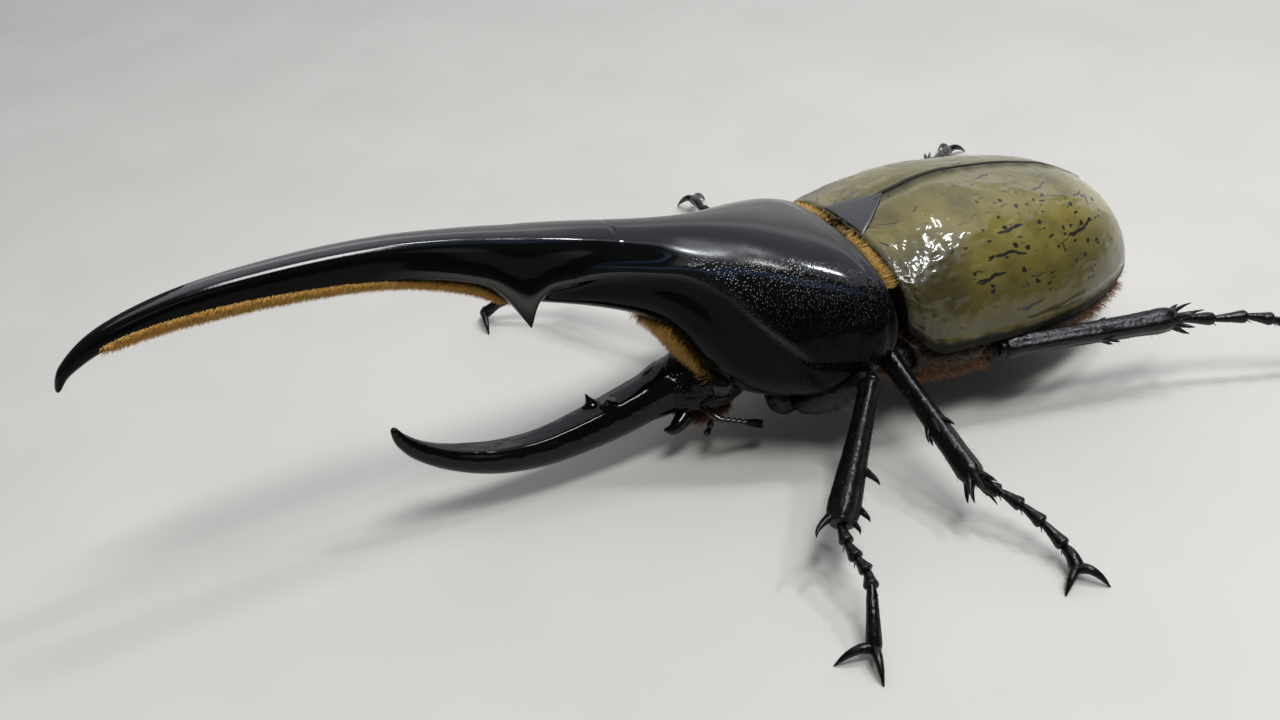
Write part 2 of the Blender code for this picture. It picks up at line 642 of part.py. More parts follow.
def trunk():
    """Collar behind the pronotum, breast, and the hind body in overlapping plates."""
    collar = [pronotum_ring(row + COLLAR_LEVELS) for row in COLLAR_STATIONS]
    loft("collar", collar, "dark_skin")
    breast = [trunk_ring(row) for row in smooth_rows(BREAST_STATIONS, BREAST_RINGS)]
    loft("breast", breast, "dark_skin")
    rings = []
    for plate, follower in zip(BELLY_STATIONS, BELLY_STATIONS[1:]):
        x, half_width, low = plate
        next_x, next_half_width, next_low = follower
        front = (x, half_width - PLATE_STEP, low + PLATE_STEP)
        crest = (x + (next_x - x) * PLATE_CREST_SHARE, half_width, low)
        back = (next_x + PLATE_LAP, next_half_width, next_low)
        rings += [trunk_ring(row) for row in (front, crest, back)]
    loft("abdomen", rings, "dark_skin")


def leg_paths(leg):
    """Points and radii of the hip piece, the thigh and the shin."""
    coxa, hip, knee, ankle = (Vector(leg[k]) for k in ("coxa", "hip", "knee", "ankle"))
    thigh, shin, apex = leg["thickness"]
    middle = (shin + apex) / 2
    shin_radii = [(shin if share < 0.5 else middle) * width
                  for share, width in zip(SHIN_SHARES, SHIN_WIDTHS[leg["teeth"]])]
    return (
        ([coxa.lerp(hip, share) for share in COXA_SHARES], COXA_RADII),
        ([hip.lerp(knee, share) for share in THIGH_SHARES], [thigh * k for k in THIGH_WIDTHS]),
        ([knee.lerp(ankle, share) for share in SHIN_SHARES], shin_radii),
    )


def tarsus_path(leg):
    """Five small joints of the foot, each wider at its far end."""
    ankle = Vector(leg["ankle"])
    joints = [ankle] + [Vector(p) for p in leg["foot"]] + [Vector(leg["sole"])]
    points, radii = [], []
    for start, end in zip(joints, joints[1:]):
        points += [start.lerp(end, share) for share in FOOT_JOINT_SHARES]
        radii += LAST_JOINT_RADII if end == joints[-1] else FOOT_JOINT_RADII
    points[0] = ankle + (joints[1] - ankle).normalized() * GAP
    return points, radii


def claw(root, tip):
    """A curved, tapering claw that arches to the ground."""
    root, tip = Vector(root), Vector(tip)
    arch = Vector((0, 0, CLAW_ARCH))
    points = [root, root.lerp(tip, 0.35) + arch * 0.75, root.lerp(tip, 0.7) + arch * 0.65, tip]
    return limb("claw", points, CLAW_RADII, 6, "leg_shell")


def tibia_teeth(leg):
    """Teeth along the shin and spurs at its end."""
    knee, ankle = Vector(leg["knee"]), Vector(leg["ankle"])
    along = (ankle - knee).normalized()
    toward = Vector(leg["toward"])
    toward = (toward - along * toward.dot(along)).normalized()
    beside = along.cross(toward)
    size = leg["thickness"][2]
    teeth = []
    if leg["teeth"] == "front":
        for share, reach in FRONT_TEETH:
            root = knee.lerp(ankle, share)
            tip = root + toward * (size + reach) + along * FRONT_TOOTH_SLANT
            teeth.append(spike(root, tip, FRONT_TOOTH_RADIUS))
        share, inset, reach, slant, radius = INNER_SPUR
        root = knee.lerp(ankle, share)
        tip = root - toward * (size + reach) + along * slant
        teeth.append(spike(root - toward * inset, tip, radius))
    else:
        for share, reach, count in SPINE_RINGS:
            root = knee.lerp(ankle, share)
            for k in range(count):
                turn = math.pi * (k / (count - 1) - 0.5) * SPINE_FAN
                out = toward * math.cos(turn) + beside * math.sin(turn)
                tip = root + out * (size + reach * 0.75) + along * (1.2 + reach)
                teeth.append(spike(root, tip, SPINE_RADIUS))
        share, inward, reach, slant, radius = SPUR
        root = knee.lerp(ankle, share)
        for spread in (-SPUR_SPREAD, SPUR_SPREAD):
            out = (toward * -inward + beside * spread).normalized()
            teeth.append(spike(root, root + out * (size + reach) + along * slant, radius))
    return teeth


def leg(name, sizes, bodies):
    """One whole leg, carved into whatever it lies against."""
    lengths = leg_paths(sizes)
    foot_points, foot_radii = tarsus_path(sizes)
    for body in bodies:
        for points, radii in lengths:
            carve(body, [limb("cut", points, radii, LEG_SIDES, "leg_shell", GAP)])
    coxa, femur, tibia = (limb(part + "_" + name, points, radii, LEG_SIDES, "leg_shell")
                          for part, (points, radii) in zip(("coxa", "femur", "tibia"), lengths))
    carve(coxa, [limb("cut", *lengths[1], LEG_SIDES, "leg_shell", GAP)])
    carve(femur, [limb("cut", *lengths[2], LEG_SIDES, "leg_shell", GAP)])
    fuse(tibia, tibia_teeth(sizes))
    carve(tibia, [limb("cut", foot_points[:3], foot_radii[:3], FOOT_SIDES, "leg_shell", GAP)])
    tarsus = limb("tarsus_" + name, foot_points, foot_radii, FOOT_SIDES, "leg_shell")
    claw_root = Vector(sizes["foot"][-1]).lerp(Vector(sizes["sole"]), CLAW_ROOT_SHARE)
    fuse(tarsus, [claw(claw_root, tip) for tip in sizes["claws"]])
    stand_flat(tarsus)


def build():
    prepare_scene()
    thoracic_horn()
    shield = pronotum()
    carve(shield, [head_form("cut", GAP)])
    head = head_form("head")
    carve(head, [head_horn_form("cut", GAP)])
    for side, word in ((1, "left"), (-1, "right")):
        carve(head, [eye_form("cut", side, GAP)])
        carve(shield, [eye_form("cut", side, GAP)])
        eye_form("eye_" + word, side)
        antenna("antenna_" + word, side)
    mouth_parts()
    horn = head_horn_form("cephalic_horn")
    teeth = []
    for x, side in zip(HEAD_TOOTH_X, (1, -1)):
        root = Vector((x, side * HEAD_TOOTH_SPREAD * 0.6, HEAD_TOOTH_ROOT_Z))
        tip = root + Vector((HEAD_TOOTH_LEAN, side * HEAD_TOOTH_SPREAD, HEAD_TOOTH_HEIGHT))
        teeth.append(spike(root, tip, HEAD_TOOTH_RADIUS))
    fuse(horn, teeth)
    trunk()
    for side, word in ((1, "left"), (-1, "right")):
        carve(elytron("elytron_" + word, side), [scutellum_form("cut", GAP)])
    scutellum_form("scutellum")
    things = bpy.data.objects
    under = {
        "front": ("pronotum", "collar", "breast"),
        "middle": ("pronotum", "collar", "breast", "abdomen", "elytron_left", "elytron_right"),
        "hind": ("breast", "abdomen", "elytron_left", "elytron_right"),
    }
    for name, sizes in LEGS.items():
        leg(name, sizes, [things[body] for body in under[name.split("_")[0]]])


build()
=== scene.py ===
# %% [markdown]
# A male hercules beetle, life size, standing on its feet: a long horn grows from the shield
# behind the head, a second one from the head itself, and two domed wing cases cover the hind
# body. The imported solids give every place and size. This lesson makes the same parts again,
# finer, and gives each its real surface: polished black shell, olive wing cases with black
# streaks, rugged legs and golden velvet.

import bpy
import math
import numpy as np
from mathutils import Matrix, Vector
from mathutils.kdtree import KDTree


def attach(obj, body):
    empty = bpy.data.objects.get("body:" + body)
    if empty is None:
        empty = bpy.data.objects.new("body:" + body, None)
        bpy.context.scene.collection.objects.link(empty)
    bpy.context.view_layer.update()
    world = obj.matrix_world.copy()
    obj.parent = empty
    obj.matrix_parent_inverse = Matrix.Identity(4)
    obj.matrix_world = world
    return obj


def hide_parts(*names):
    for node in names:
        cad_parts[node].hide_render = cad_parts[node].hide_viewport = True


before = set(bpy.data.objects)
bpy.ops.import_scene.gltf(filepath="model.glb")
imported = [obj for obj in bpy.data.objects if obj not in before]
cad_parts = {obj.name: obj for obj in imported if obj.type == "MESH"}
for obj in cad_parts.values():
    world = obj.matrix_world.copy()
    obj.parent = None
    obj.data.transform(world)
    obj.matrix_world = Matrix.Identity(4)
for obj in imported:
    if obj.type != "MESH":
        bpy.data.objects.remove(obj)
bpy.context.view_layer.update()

# %% [markdown]
# Sizes are easiest to think of in millimetres, measured from the middle of the back edge of
# the shield, x forward, y to the beetle's left and z up. One function turns them into the
# model's metres. A short table of sections, joined by a smooth curve, describes each horn or
# shell, so that a few numbers that a reader can check give the whole form.

# %% Places and smooth tables
MM = 0.001
SIDES = ((1, "left"), (-1, "right"))
MIDDLE = np.array((14.465, -9.05, -5.0))


def model_place(points):
    """Millimetres in the beetle's own frame to the model's metres."""
    return (np.asarray(points, float) - MIDDLE) * MM


def smooth_rows(table, shares):
    """Rows of a table at shares of its length, on a Catmull-Rom curve."""
    table = np.asarray(table, float)
    place = np.clip(np.asarray(shares, float), 0, 1) * (len(table) - 1)
    first = np.minimum(place.astype(int), len(table) - 2)
    t = (place - first)[:, None]
    a, b, c, d = (table[np.clip(first + k, 0, len(table) - 1)] for k in (-1, 0, 1, 2))
    return 0.5 * (2 * b + (c - a) * t + (2 * a - 5 * b + 4 * c - d) * t ** 2
                  + (3 * b - a - 3 * c + d) * t ** 3)


def full_turn(columns):
    """Angles of the columns of a closed ring."""
    return np.linspace(0, 2 * math.pi, columns)


def signed_power(values, exponent):
    """A power that keeps the sign, to make an oval squarer or rounder."""
    return np.sign(values) * np.abs(values) ** exponent


def hill(values, middle, width):
    """A soft bump of height 1."""
    return np.exp(-((values - middle) / width) ** 2)


def ease(values, low, high):
    """A smooth step from 0 at low to 1 at high."""
    t = np.clip((values - low) / (high - low), 0, 1)
    return t * t * (3 - 2 * t)


def soft_noise(rows, columns, cells_down, cells_across, seed):
    """Smooth random height between -1 and 1 that closes round the columns."""
    draw = np.random.default_rng(seed)
    coarse = draw.uniform(-1, 1, (cells_down + 3, cells_across))
    down = np.linspace(0, cells_down, rows)
    across = np.linspace(0, cells_across, columns)
    i, j = down.astype(int), across.astype(int)
    u, v = (down - i)[:, None], (across - j)[None, :]
    u, v = u * u * (3 - 2 * u), v * v * (3 - 2 * v)
    j0, j1 = j % cells_across, (j + 1) % cells_across
    low = coarse[i][:, j0] * (1 - v) + coarse[i][:, j1] * v
    high = coarse[i + 1][:, j0] * (1 - v) + coarse[i + 1][:, j1] * v
    return low * (1 - u) + high * u


# %% [markdown]
# Most parts of an insect are tubes that swell and narrow: a horn, a thigh, a claw, even the
# shield. Each is made like a sheet of clay rolled round: a grid primitive is added, its rows
# are laid on the sections and its columns run round them, then the seam and the two ends are
# merged and the normals turned outwards. It keeps an even, four-sided mesh that takes fine
# ridges, and numbers can be painted on its points for patterns that follow the surface.

# %% Rolling a sheet round its sections
MERGED_BELOW = 0.000001
FLOOR_CLEARANCE = 0.00002
SHARP_EDGE = math.radians(50)


def only(thing):
    """Select this object alone and make it the active one."""
    bpy.ops.object.select_all(action="DESELECT")
    thing.select_set(True)
    bpy.context.view_layer.objects.active = thing


def grid_normals(points):
    """Outward normals of a rolled table of points."""
    down = np.gradient(points, axis=0)
    wrapped = np.concatenate([points[:, -2:-1], points, points[:, 1:2]], axis=1)
    across = (wrapped[:, 2:] - wrapped[:, :-2]) / 2
    normals = np.cross(down, across)
    lengths = np.linalg.norm(normals, axis=2, keepdims=True)
    normals = normals / np.maximum(lengths, 1e-9)
    outward = points - points.mean(axis=1, keepdims=True)
    if np.sum(normals * outward) < 0:
        normals = -normals
    return normals


def raised(points, height):
    """The table pushed out along its normals by a height in millimetres."""
    return points + grid_normals(points) * np.asarray(height)[..., None]


def closed_ends(points):
    """Add the middle of the first and last ring, so that both ends close on a pole."""
    first = np.repeat(points[:1, :-1].mean(axis=1, keepdims=True), points.shape[1], axis=1)
    last = np.repeat(points[-1:, :-1].mean(axis=1, keepdims=True), points.shape[1], axis=1)
    return np.concatenate([first, points, last])


def rolled_sheet(name, points, floor=False):
    """A grid primitive laid on a table of points, merged where it meets itself."""
    rows, columns = points.shape[:2]
    bpy.ops.mesh.primitive_grid_add(x_subdivisions=rows - 1, y_subdivisions=columns - 1, size=1.0)
    sheet = bpy.context.object
    sheet.name = sheet.data.name = name
    flat = np.empty(len(sheet.data.vertices) * 3)
    sheet.data.vertices.foreach_get("co", flat)
    flat = flat.reshape(-1, 3)
    i = np.rint((flat[:, 0] + 0.5) * (rows - 1)).astype(int)
    j = np.rint((flat[:, 1] + 0.5) * (columns - 1)).astype(int)
    placed = model_place(points[i, j])
    if floor:
        placed[:, 2] = np.maximum(placed[:, 2], FLOOR_CLEARANCE)
    sheet.data.vertices.foreach_set("co", placed.ravel())
    only(sheet)
    bpy.ops.object.mode_set(mode="EDIT")
    bpy.ops.mesh.select_all(action="SELECT")
    bpy.ops.mesh.remove_doubles(threshold=MERGED_BELOW)
    bpy.ops.mesh.normals_make_consistent(inside=False)
    bpy.ops.object.mode_set(mode="OBJECT")
    bpy.ops.object.shade_smooth_by_angle(angle=SHARP_EDGE)
    return sheet


def joined(name, things):
    """One object from several, each still a closed form."""
    bpy.ops.object.select_all(action="DESELECT")
    for thing in things:
        thing.select_set(True)
    bpy.context.view_layer.objects.active = things[0]
    bpy.ops.object.join()
    things[0].name = things[0].data.name = name
    return things[0]


PIECES = {}


def finished(piece, node_names, material):
    """Give the piece its material, and let it stand for its solids."""
    piece.data.materials.clear()
    piece.data.materials.append(material)
    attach(piece, "root")
    if node_names:
        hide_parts(*node_names)
    PIECES[piece.name] = piece
    print(piece.name, len(piece.data.polygons), "faces")


# %% [markdown]
# Materials come first, so that each part can be dressed when it is made. Colours are written
# as the hex values a picture editor shows, and one function turns them to the linear values
# that light is worked out in. Another adds one node and gives its output, which the next node
# takes as it takes a number. Short names for the nodes used most keep each recipe readable.

# %% Colour and node helpers
def colour(code):
    """An sRGB hex value as linear colour."""
    parts = [int(code[i:i + 2], 16) / 255 for i in (1, 3, 5)]
    light = [c / 12.92 if c <= 0.04045 else ((c + 0.055) / 1.055) ** 2.4 for c in parts]
    return (*light, 1.0)


def new_material(name, **sockets):
    """A Principled material with its constants set on the shader's own sockets."""
    material = bpy.data.materials.new(name)
    material.use_nodes = True
    shader = material.node_tree.nodes["Principled BSDF"]
    for key, value in sockets.items():
        shader.inputs[key.replace("_", " ")].default_value = value
    return material


def fed(material, node, inputs):
    """Give a node's inputs their values or the outputs of other nodes."""
    for key, value in inputs.items():
        if isinstance(value, bpy.types.NodeSocket):
            material.node_tree.links.new(value, node.inputs[key])
        else:
            node.inputs[key].default_value = value


def add_node(material, kind, output, inputs, **settings):
    """Add a node with its settings and inputs, and give the named output."""
    node = material.node_tree.nodes.new(kind)
    for key, value in settings.items():
        setattr(node, key, value)
    fed(material, node, inputs)
    return node.outputs[output]


def dress(material, **sockets):
    """Link outputs to the material's shader."""
    shader = material.node_tree.nodes["Principled BSDF"]
    fed(material, shader, {key.replace("_", " "): value for key, value in sockets.items()})


def place_on(material):
    return add_node(material, "ShaderNodeTexCoord", "Object", {})


def painted(material, name):
    """A number that is painted on the form under this name."""
    return add_node(material, "ShaderNodeAttribute", "Fac", {}, attribute_name=name)


def noise(material, place, scale, detail, roughness=0.5, output="Fac"):
    """Clouds; scale is in cells to a metre where the place is the object's."""
    return add_node(material, "ShaderNodeTexNoise", output,
                    {"Vector": place, "Scale": scale, "Detail": detail, "Roughness": roughness})


def cells(material, place, scale, randomness, **settings):
    return add_node(material, "ShaderNodeTexVoronoi", "Distance",
                    {"Vector": place, "Scale": scale, "Randomness": randomness}, **settings)


def maths(material, operation, *terms, **settings):
    return add_node(material, "ShaderNodeMath", 0, dict(enumerate(terms)), operation=operation, **settings)


def ranged(material, value, old, new, **settings):
    """Carry a number from one range to another."""
    return add_node(material, "ShaderNodeMapRange", "Result",
                    {"Value": value, "From Min": old[0], "From Max": old[1],
                     "To Min": new[0], "To Max": new[1]}, **settings)


def blended(material, share, first, second):
    return add_node(material, "ShaderNodeMix", 2, {0: share, 6: first, 7: second}, data_type="RGBA")


def toned(material, value, *stops):
    """A colour ramp; each stop is a place and a hex colour."""
    output = add_node(material, "ShaderNodeValToRGB", "Color", {"Fac": value})
    elements = output.node.color_ramp.elements
    while len(elements) < len(stops):
        elements.new(1.0)
    for element, (place, code) in zip(elements, stops):
        element.position = place
        element.color = colour(code)
    return output


def bumped(material, height, strength, distance, under=None, **settings):
    """Small relief, over another bump if one is given."""
    inputs = {"Height": height, "Strength": strength, "Distance": distance}
    if under:
        inputs["Normal"] = under
    return add_node(material, "ShaderNodeBump", "Normal", inputs, **settings)


def clouded(name, scale, detail, *stops, **sockets):
    """A material whose tone drifts in small clouds, and the clouds."""
    material = new_material(name, **sockets)
    clouds = noise(material, place_on(material), scale, detail)
    dress(material, Base_Color=toned(material, clouds, *stops))
    return material, clouds


# %% [markdown]
# The horn and shield are polished black chitin, a natural laminate with an index of
# refraction of about 1.5. Wax on its skin makes it mirror bright, so the roughness is low, and
# the eye reads it by its reflections: fine pits at the sides break them, the back stays clean.
# The attribute "pits" says where the pits are, "satin" where the back's fine grain softens the
# mirror, "dull" where the wax is thin, low on the sides, and "pile" where golden velvet grows.
# They are painted on the form itself.

# %% Polished black chitin
def black_chitin(name, tint, pit_depth, wrinkle):
    material = new_material(name, IOR=1.5)
    place = place_on(material)
    clouds = noise(material, place, 160.0, 4.0, 0.6)
    tone = toned(material, clouds, (0.3, "#030303"), (0.6, "#060607"), (0.8, tint))
    grease = noise(material, place, 420.0, 5.0, 0.65)
    mirror = ranged(material, grease, (0.35, 0.7), (0.05, 0.11))
    satin = maths(material, "MULTIPLY_ADD", painted(material, "satin"), 0.1, mirror)
    pile = painted(material, "pile")
    # Pits about 0.37 mm apart and half of that wide
    pits = ranged(material, cells(material, place, 2700.0, 0.9), (0.08, 0.4), (0.0, 1.0))
    depth = maths(material, "MULTIPLY", pits, painted(material, "pits"))
    ripples = bumped(material, noise(material, place, 900.0, 3.0, 0.55), wrinkle, 0.0001)
    dress(material,
          Base_Color=blended(material, pile, tone, colour("#5a3d12")),
          Roughness=maths(material, "MAXIMUM", satin, pile),
          Specular_IOR_Level=ranged(material, painted(material, "dull"), (0.0, 1.0), (0.36, 0.09),
                                    clamp=False),
          Normal=bumped(material, depth, pit_depth, 0.00009, under=ripples))
    return material


POLISHED_BLACK = black_chitin("polished_black_chitin", "#0a0a0c", 0.75, 0.05)
HORN_BLACK = black_chitin("horn_black_chitin", "#0b0d0a", 0.4, 0.13)

# %% [markdown]
# The legs are the same chitin, but worked: punctures and wear roughen thigh and shin, and dirt
# leaves some places browner. Clouds vary tone and gloss, and small cells are the punctures.

# %% Rugged leg chitin
LEG_BLACK = new_material("rugged_leg_chitin", IOR=1.5, Specular_IOR_Level=0.28)
leg_place = place_on(LEG_BLACK)
leg_clouds = noise(LEG_BLACK, leg_place, 700.0, 6.0, 0.65)
leg_cells = cells(LEG_BLACK, leg_place, 1500.0, 1.0, feature="SMOOTH_F1")
leg_holes = ranged(LEG_BLACK, leg_cells, (0.1, 0.5), (0.0, 1.0))
leg_grain = bumped(LEG_BLACK, leg_clouds, 0.1, 0.0002)
dress(LEG_BLACK,
      Base_Color=toned(LEG_BLACK, leg_clouds, (0.3, "#040404"), (0.62, "#080808"), (0.85, "#12100e")),
      Roughness=ranged(LEG_BLACK, leg_clouds, (0.3, 0.75), (0.2, 0.42)),
      Normal=bumped(LEG_BLACK, leg_holes, 0.3, 0.00012, under=leg_grain))

# %% [markdown]
# A wing case is chitin with an open, sponge-like layer under a clear skin. Dry, that layer
# scatters olive-yellow light; where it is damaged or damp the black beneath shows as streaks
# and dots. So the clear skin is a strong coat over a coloured base, and the black marks are
# in the base, under the gloss. The attributes "along" and "round" give the pattern its place
# in millimetres, from the front and from the rim. Every streak and dot is one cell of a
# pattern, stretched for the streaks, of which only a few are kept, most where "marked" is
# high. Broken lines between large cells are the fine cracks. A painted sheen turns the rear
# and a band along the seam paler and greyer, "shaded" is painted shade on the front, the low
# side and near the seam, and "dark_edge" is the black rim and seam.

# %% Olive wing case
OLIVE = new_material("olive_wing_case", IOR=1.5, Coat_Weight=0.8, Coat_Roughness=0.07, Coat_IOR=1.5,
                     Roughness=0.5, Specular_IOR_Level=0.25)
in_mm = add_node(OLIVE, "ShaderNodeCombineXYZ", "Vector",
                 {"X": painted(OLIVE, "along"), "Y": painted(OLIVE, "round")})
patches = noise(OLIVE, in_mm, 0.16, 5.0, 0.6)
ground = toned(OLIVE, patches, (0.3, "#554b1a"), (0.5, "#706526"), (0.72, "#80743c"))
# Painted sheen: the rear and a band along the seam turn paler and greyer
ground = blended(OLIVE, painted(OLIVE, "painted_sheen"), ground, colour("#b2ab8e"))
# Painted shade: darker at the front, low on the side and near the seam
ground = blended(OLIVE, painted(OLIVE, "shaded"), ground, colour("#2c2605"))


def warped(scale, detail, reach):
    """The place in millimetres, pushed about by noise so that lines bend and fray."""
    push = noise(OLIVE, in_mm, scale, detail, output="Color")
    return add_node(OLIVE, "ShaderNodeVectorMath", 0, {0: push, 1: (reach, reach, 0.0), 2: in_mm},
                    operation="MULTIPLY_ADD")


def mapped(place, stretch, turn=0.0):
    return add_node(OLIVE, "ShaderNodeMapping", "Vector",
                    {"Vector": place, "Scale": stretch, "Rotation": (0.0, 0.0, turn)})


bent = warped(0.2, 3.0, 3.5)
frayed = warped(1.6, 2.0, 0.7)
gather = maths(OLIVE, "ADD", noise(OLIVE, in_mm, 0.16, 2.0),
               ranged(OLIVE, painted(OLIVE, "marked"), (0.0, 1.0), (-0.26, 0.12)))


def marks_on_case(place, stretch, turn, kept, size, crisp):
    """Long or round marks: one for each cell that is kept, of a drawn size."""
    field = cells(OLIVE, mapped(place, stretch, turn), 1.0, 1.0, voronoi_dimensions="2D")
    drawn = add_node(OLIVE, "ShaderNodeSeparateColor", "Red", {"Color": field.node.outputs["Color"]})
    thick = maths(OLIVE, "ADD", drawn, gather)
    limit = ranged(OLIVE, thick, (kept, kept + 0.5), (0.0, size))
    return ranged(OLIVE, maths(OLIVE, "SUBTRACT", limit, field), (0.0, crisp), (0.0, 1.0))


crack_field = cells(OLIVE, mapped(bent, (0.1, 0.34, 1.0)), 1.0, 1.0, feature="DISTANCE_TO_EDGE",
                    voronoi_dimensions="2D")
crack_lines = ranged(OLIVE, crack_field, (0.01, 0.035), (0.85, 0.0))
cracks_kept = ranged(OLIVE, noise(OLIVE, in_mm, 0.3, 3.0), (0.56, 0.62), (0.0, 1.0))
marks = maths(OLIVE, "MULTIPLY", crack_lines, cracks_kept)
# Long streaks, short streaks and dots: place, stretch, turn, kept from, size and soft edge
for mark in (
    (bent, (0.07, 0.72, 1.0), 0.14, 0.9, 0.2, 0.015),
    (frayed, (0.26, 0.75, 1.0), -0.1, 1.04, 0.2, 0.02),
    (frayed, (0.5, 0.6, 1.0), 0.0, 0.95, 0.25, 0.03),
):
    marks = maths(OLIVE, "MAXIMUM", marks, marks_on_case(*mark))
edges = painted(OLIVE, "dark_edge")
dark = maths(OLIVE, "MAXIMUM", marks, edges, use_clamp=True)
leather = bumped(OLIVE, noise(OLIVE, place_on(OLIVE), 900.0, 5.0, 0.6), 0.25, 0.0001)
dress(OLIVE,
      Base_Color=blended(OLIVE, dark, ground, colour("#0d0d08")),
      Coat_Weight=ranged(OLIVE, edges, (0.0, 1.0), (0.8, 0.02)),
      Specular_IOR_Level=ranged(OLIVE, edges, (0.0, 1.0), (0.25, 0.1)),
      Normal=leather, Coat_Normal=leather)

# %% [markdown]
# Between the plates lies softer, dark brown skin; the eye is a polished dark ball of thousands
# of small lenses; the mouth is red-brown; and the velvet is golden hair, each hair a little
# lighter or darker, which an attribute drawn for each hair gives.

# %% Skin, eye, mouth and golden hair
DARK_SKIN, skin_clouds = clouded("dark_body_chitin", 600.0, 6.0, (0.3, "#0d0a08"), (0.7, "#231a12"),
                                 IOR=1.5, Coat_Weight=0.2)
dress(DARK_SKIN, Roughness=ranged(DARK_SKIN, skin_clouds, (0.0, 1.0), (0.3, 0.6)),
      Normal=bumped(DARK_SKIN, skin_clouds, 0.5, 0.0002))

EYE = new_material("polished_eye", IOR=1.5, Roughness=0.14, Coat_Weight=0.3, Coat_Roughness=0.06,
                   Specular_IOR_Level=0.3)
lenses = cells(EYE, place_on(EYE), 6500.0, 0.2)
dress(EYE, Base_Color=toned(EYE, lenses, (0.0, "#2a1a10"), (0.6, "#0c0806")),
      Normal=bumped(EYE, lenses, 0.3, 0.00003, invert=True))

MOUTH, _ = clouded("red_brown_chitin", 900.0, 4.0, (0.3, "#170c07"), (0.7, "#3c1d0f"),
                   IOR=1.5, Roughness=0.35, Coat_Weight=0.3)
DARK_MOUTH, _ = clouded("dark_brown_feeler", 1200.0, 4.0, (0.3, "#060403"), (0.75, "#1a0e08"),
                        IOR=1.5, Roughness=0.25)


def hair_material(name, *codes):
    """Glossy hair from dark to light, whose tone is drawn for each hair."""
    material = new_material(name, IOR=1.5, Roughness=0.5, Sheen_Weight=0.1)
    stops = zip((0.0, 0.5, 1.0), codes)
    dress(material, Base_Color=toned(material, painted(material, "tone"), *stops))
    return material


GOLDEN_HAIR = hair_material("golden_hair", "#8f6415", "#cf9a30", "#f2cf7c")
LEG_HAIR = hair_material("dark_leg_hair", "#140b04", "#2e1b0a", "#5a3a16")
COLLAR_HAIR = hair_material("collar_hair", "#5a3f10", "#c49434", "#f8da86")
BROWN_HAIR = hair_material("orange_brown_hair", "#2e1a07", "#764613", "#bb7d2c")
print("materials", len(bpy.data.materials))

# %% [markdown]
# Horn and shield are one casting in the living beetle: the pronotum is drawn out forward into
# the horn. Their two tables of sections are joined into one sheet, so that no step shows where
# they meet, and it is cut into the two pieces that the model keeps apart. The shield's sections
# are domes, wide below the middle; the horn's are ovals that narrow, arch and turn down. Then
# the surface is sculpted: two edges along the flattened back of the horn, the crease that runs
# from each tooth back over the side of the shield, and the raised back rim.

# %% Sections of the shield and its horn
# Place and level of the axis, half height and half width
HORN_STATIONS = (
    (30.0, 27.4, 6.7, 6.3), (37.5, 30.3, 5.7, 4.6), (46.5, 33.2, 5.0, 3.6),
    (54.0, 36.3, 3.8, 2.9), (64.0, 38.8, 3.0, 2.5), (75.0, 40.0, 2.6, 2.2),
    (86.0, 40.2, 2.1, 1.8), (95.0, 39.1, 1.45, 1.4), (100.3, 36.5, 0.85, 0.9),
    (102.2, 33.9, 0.3, 0.35),
)
# Place, level of the crest, half width, level of the widest place and level of the belly
PRONOTUM_STATIONS = (
    (-0.4, 25.0, 18.2, 17.2, 6.0), (1.2, 26.2, 19.3, 16.2, 4.2), (5.0, 27.7, 19.4, 13.9, 3.0),
    (10.0, 29.2, 17.9, 12.0, 2.4), (15.0, 30.5, 15.2, 12.2, 2.6), (20.0, 31.7, 12.0, 14.2, 5.0),
    (23.6, 32.5, 9.6, 18.0, 9.4), (26.4, 33.2, 7.8, 23.0, 17.0), (29.7, 34.0, 6.4, 27.4, 21.0),
)
COLUMNS = 161
TURNS = full_turn(COLUMNS)
ROOT_TURN_SHARE = 5 / 29


def horn_rings(stations, shares, columns, turn_share, tip_share=0.04, flat_from=None):
    """Rings square to a curved axis, upright at the root, rounded off at the tip."""
    rows = len(shares)
    x, z, half_height, half_width = smooth_rows(stations, shares).T
    ahead = np.stack([np.gradient(x, shares), np.gradient(z, shares)], axis=1)
    ahead /= np.linalg.norm(ahead, axis=1, keepdims=True)
    lean = np.clip(shares / turn_share, 0, 1)[:, None]
    ahead = np.array((1.0, 0.0)) * (1 - lean) + ahead * lean
    ahead /= np.linalg.norm(ahead, axis=1, keepdims=True)
    # The tip is rounded off over its last share, to a small end that is not quite a point
    end = np.sqrt(1 - np.clip((shares - 1 + tip_share) / tip_share, 0, 1) ** 2 * 0.98)
    turns = full_turn(columns)
    sine = np.broadcast_to(np.sin(turns), (rows, columns))
    cosine = np.broadcast_to(np.cos(turns), (rows, columns))
    # The back of the ring is flattened and its edges squared
    if flat_from:
        flat = (ease(x, *flat_from) * (1 - ease(x, 86, 97)))[:, None]
        cosine = np.where(sine > 0, signed_power(cosine, 1 - 0.12 * flat), cosine)
        sine = np.where(sine > 0, np.abs(sine) ** (1 - 0.42 * flat), sine)
    rise = half_height[:, None] * sine * end[:, None]
    points = np.empty((rows, columns, 3))
    points[..., 0] = x[:, None] - ahead[:, 1:] * rise
    points[..., 1] = half_width[:, None] * cosine * end[:, None]
    points[..., 2] = z[:, None] + ahead[:, :1] * rise
    return points


def shield_rings(rows, columns):
    """Dome-shaped sections of the pronotum, from its back edge forward."""
    sections = smooth_rows(PRONOTUM_STATIONS, np.linspace(0, 1, rows))
    x, crest, half_width, wide_z, belly = (column[:, None] for column in sections.T)
    turns = full_turn(columns)[None, :]
    sine, cosine = np.sin(turns), np.cos(turns)
    rise = np.where(sine > 0, (crest - wide_z) * sine, (wide_z - belly) * signed_power(sine, 0.8))
    width = half_width * np.where(sine > 0, signed_power(cosine, 0.95), signed_power(cosine, 1.5))
    return np.stack([np.broadcast_to(x, rise.shape), width, wide_z + rise], axis=2)


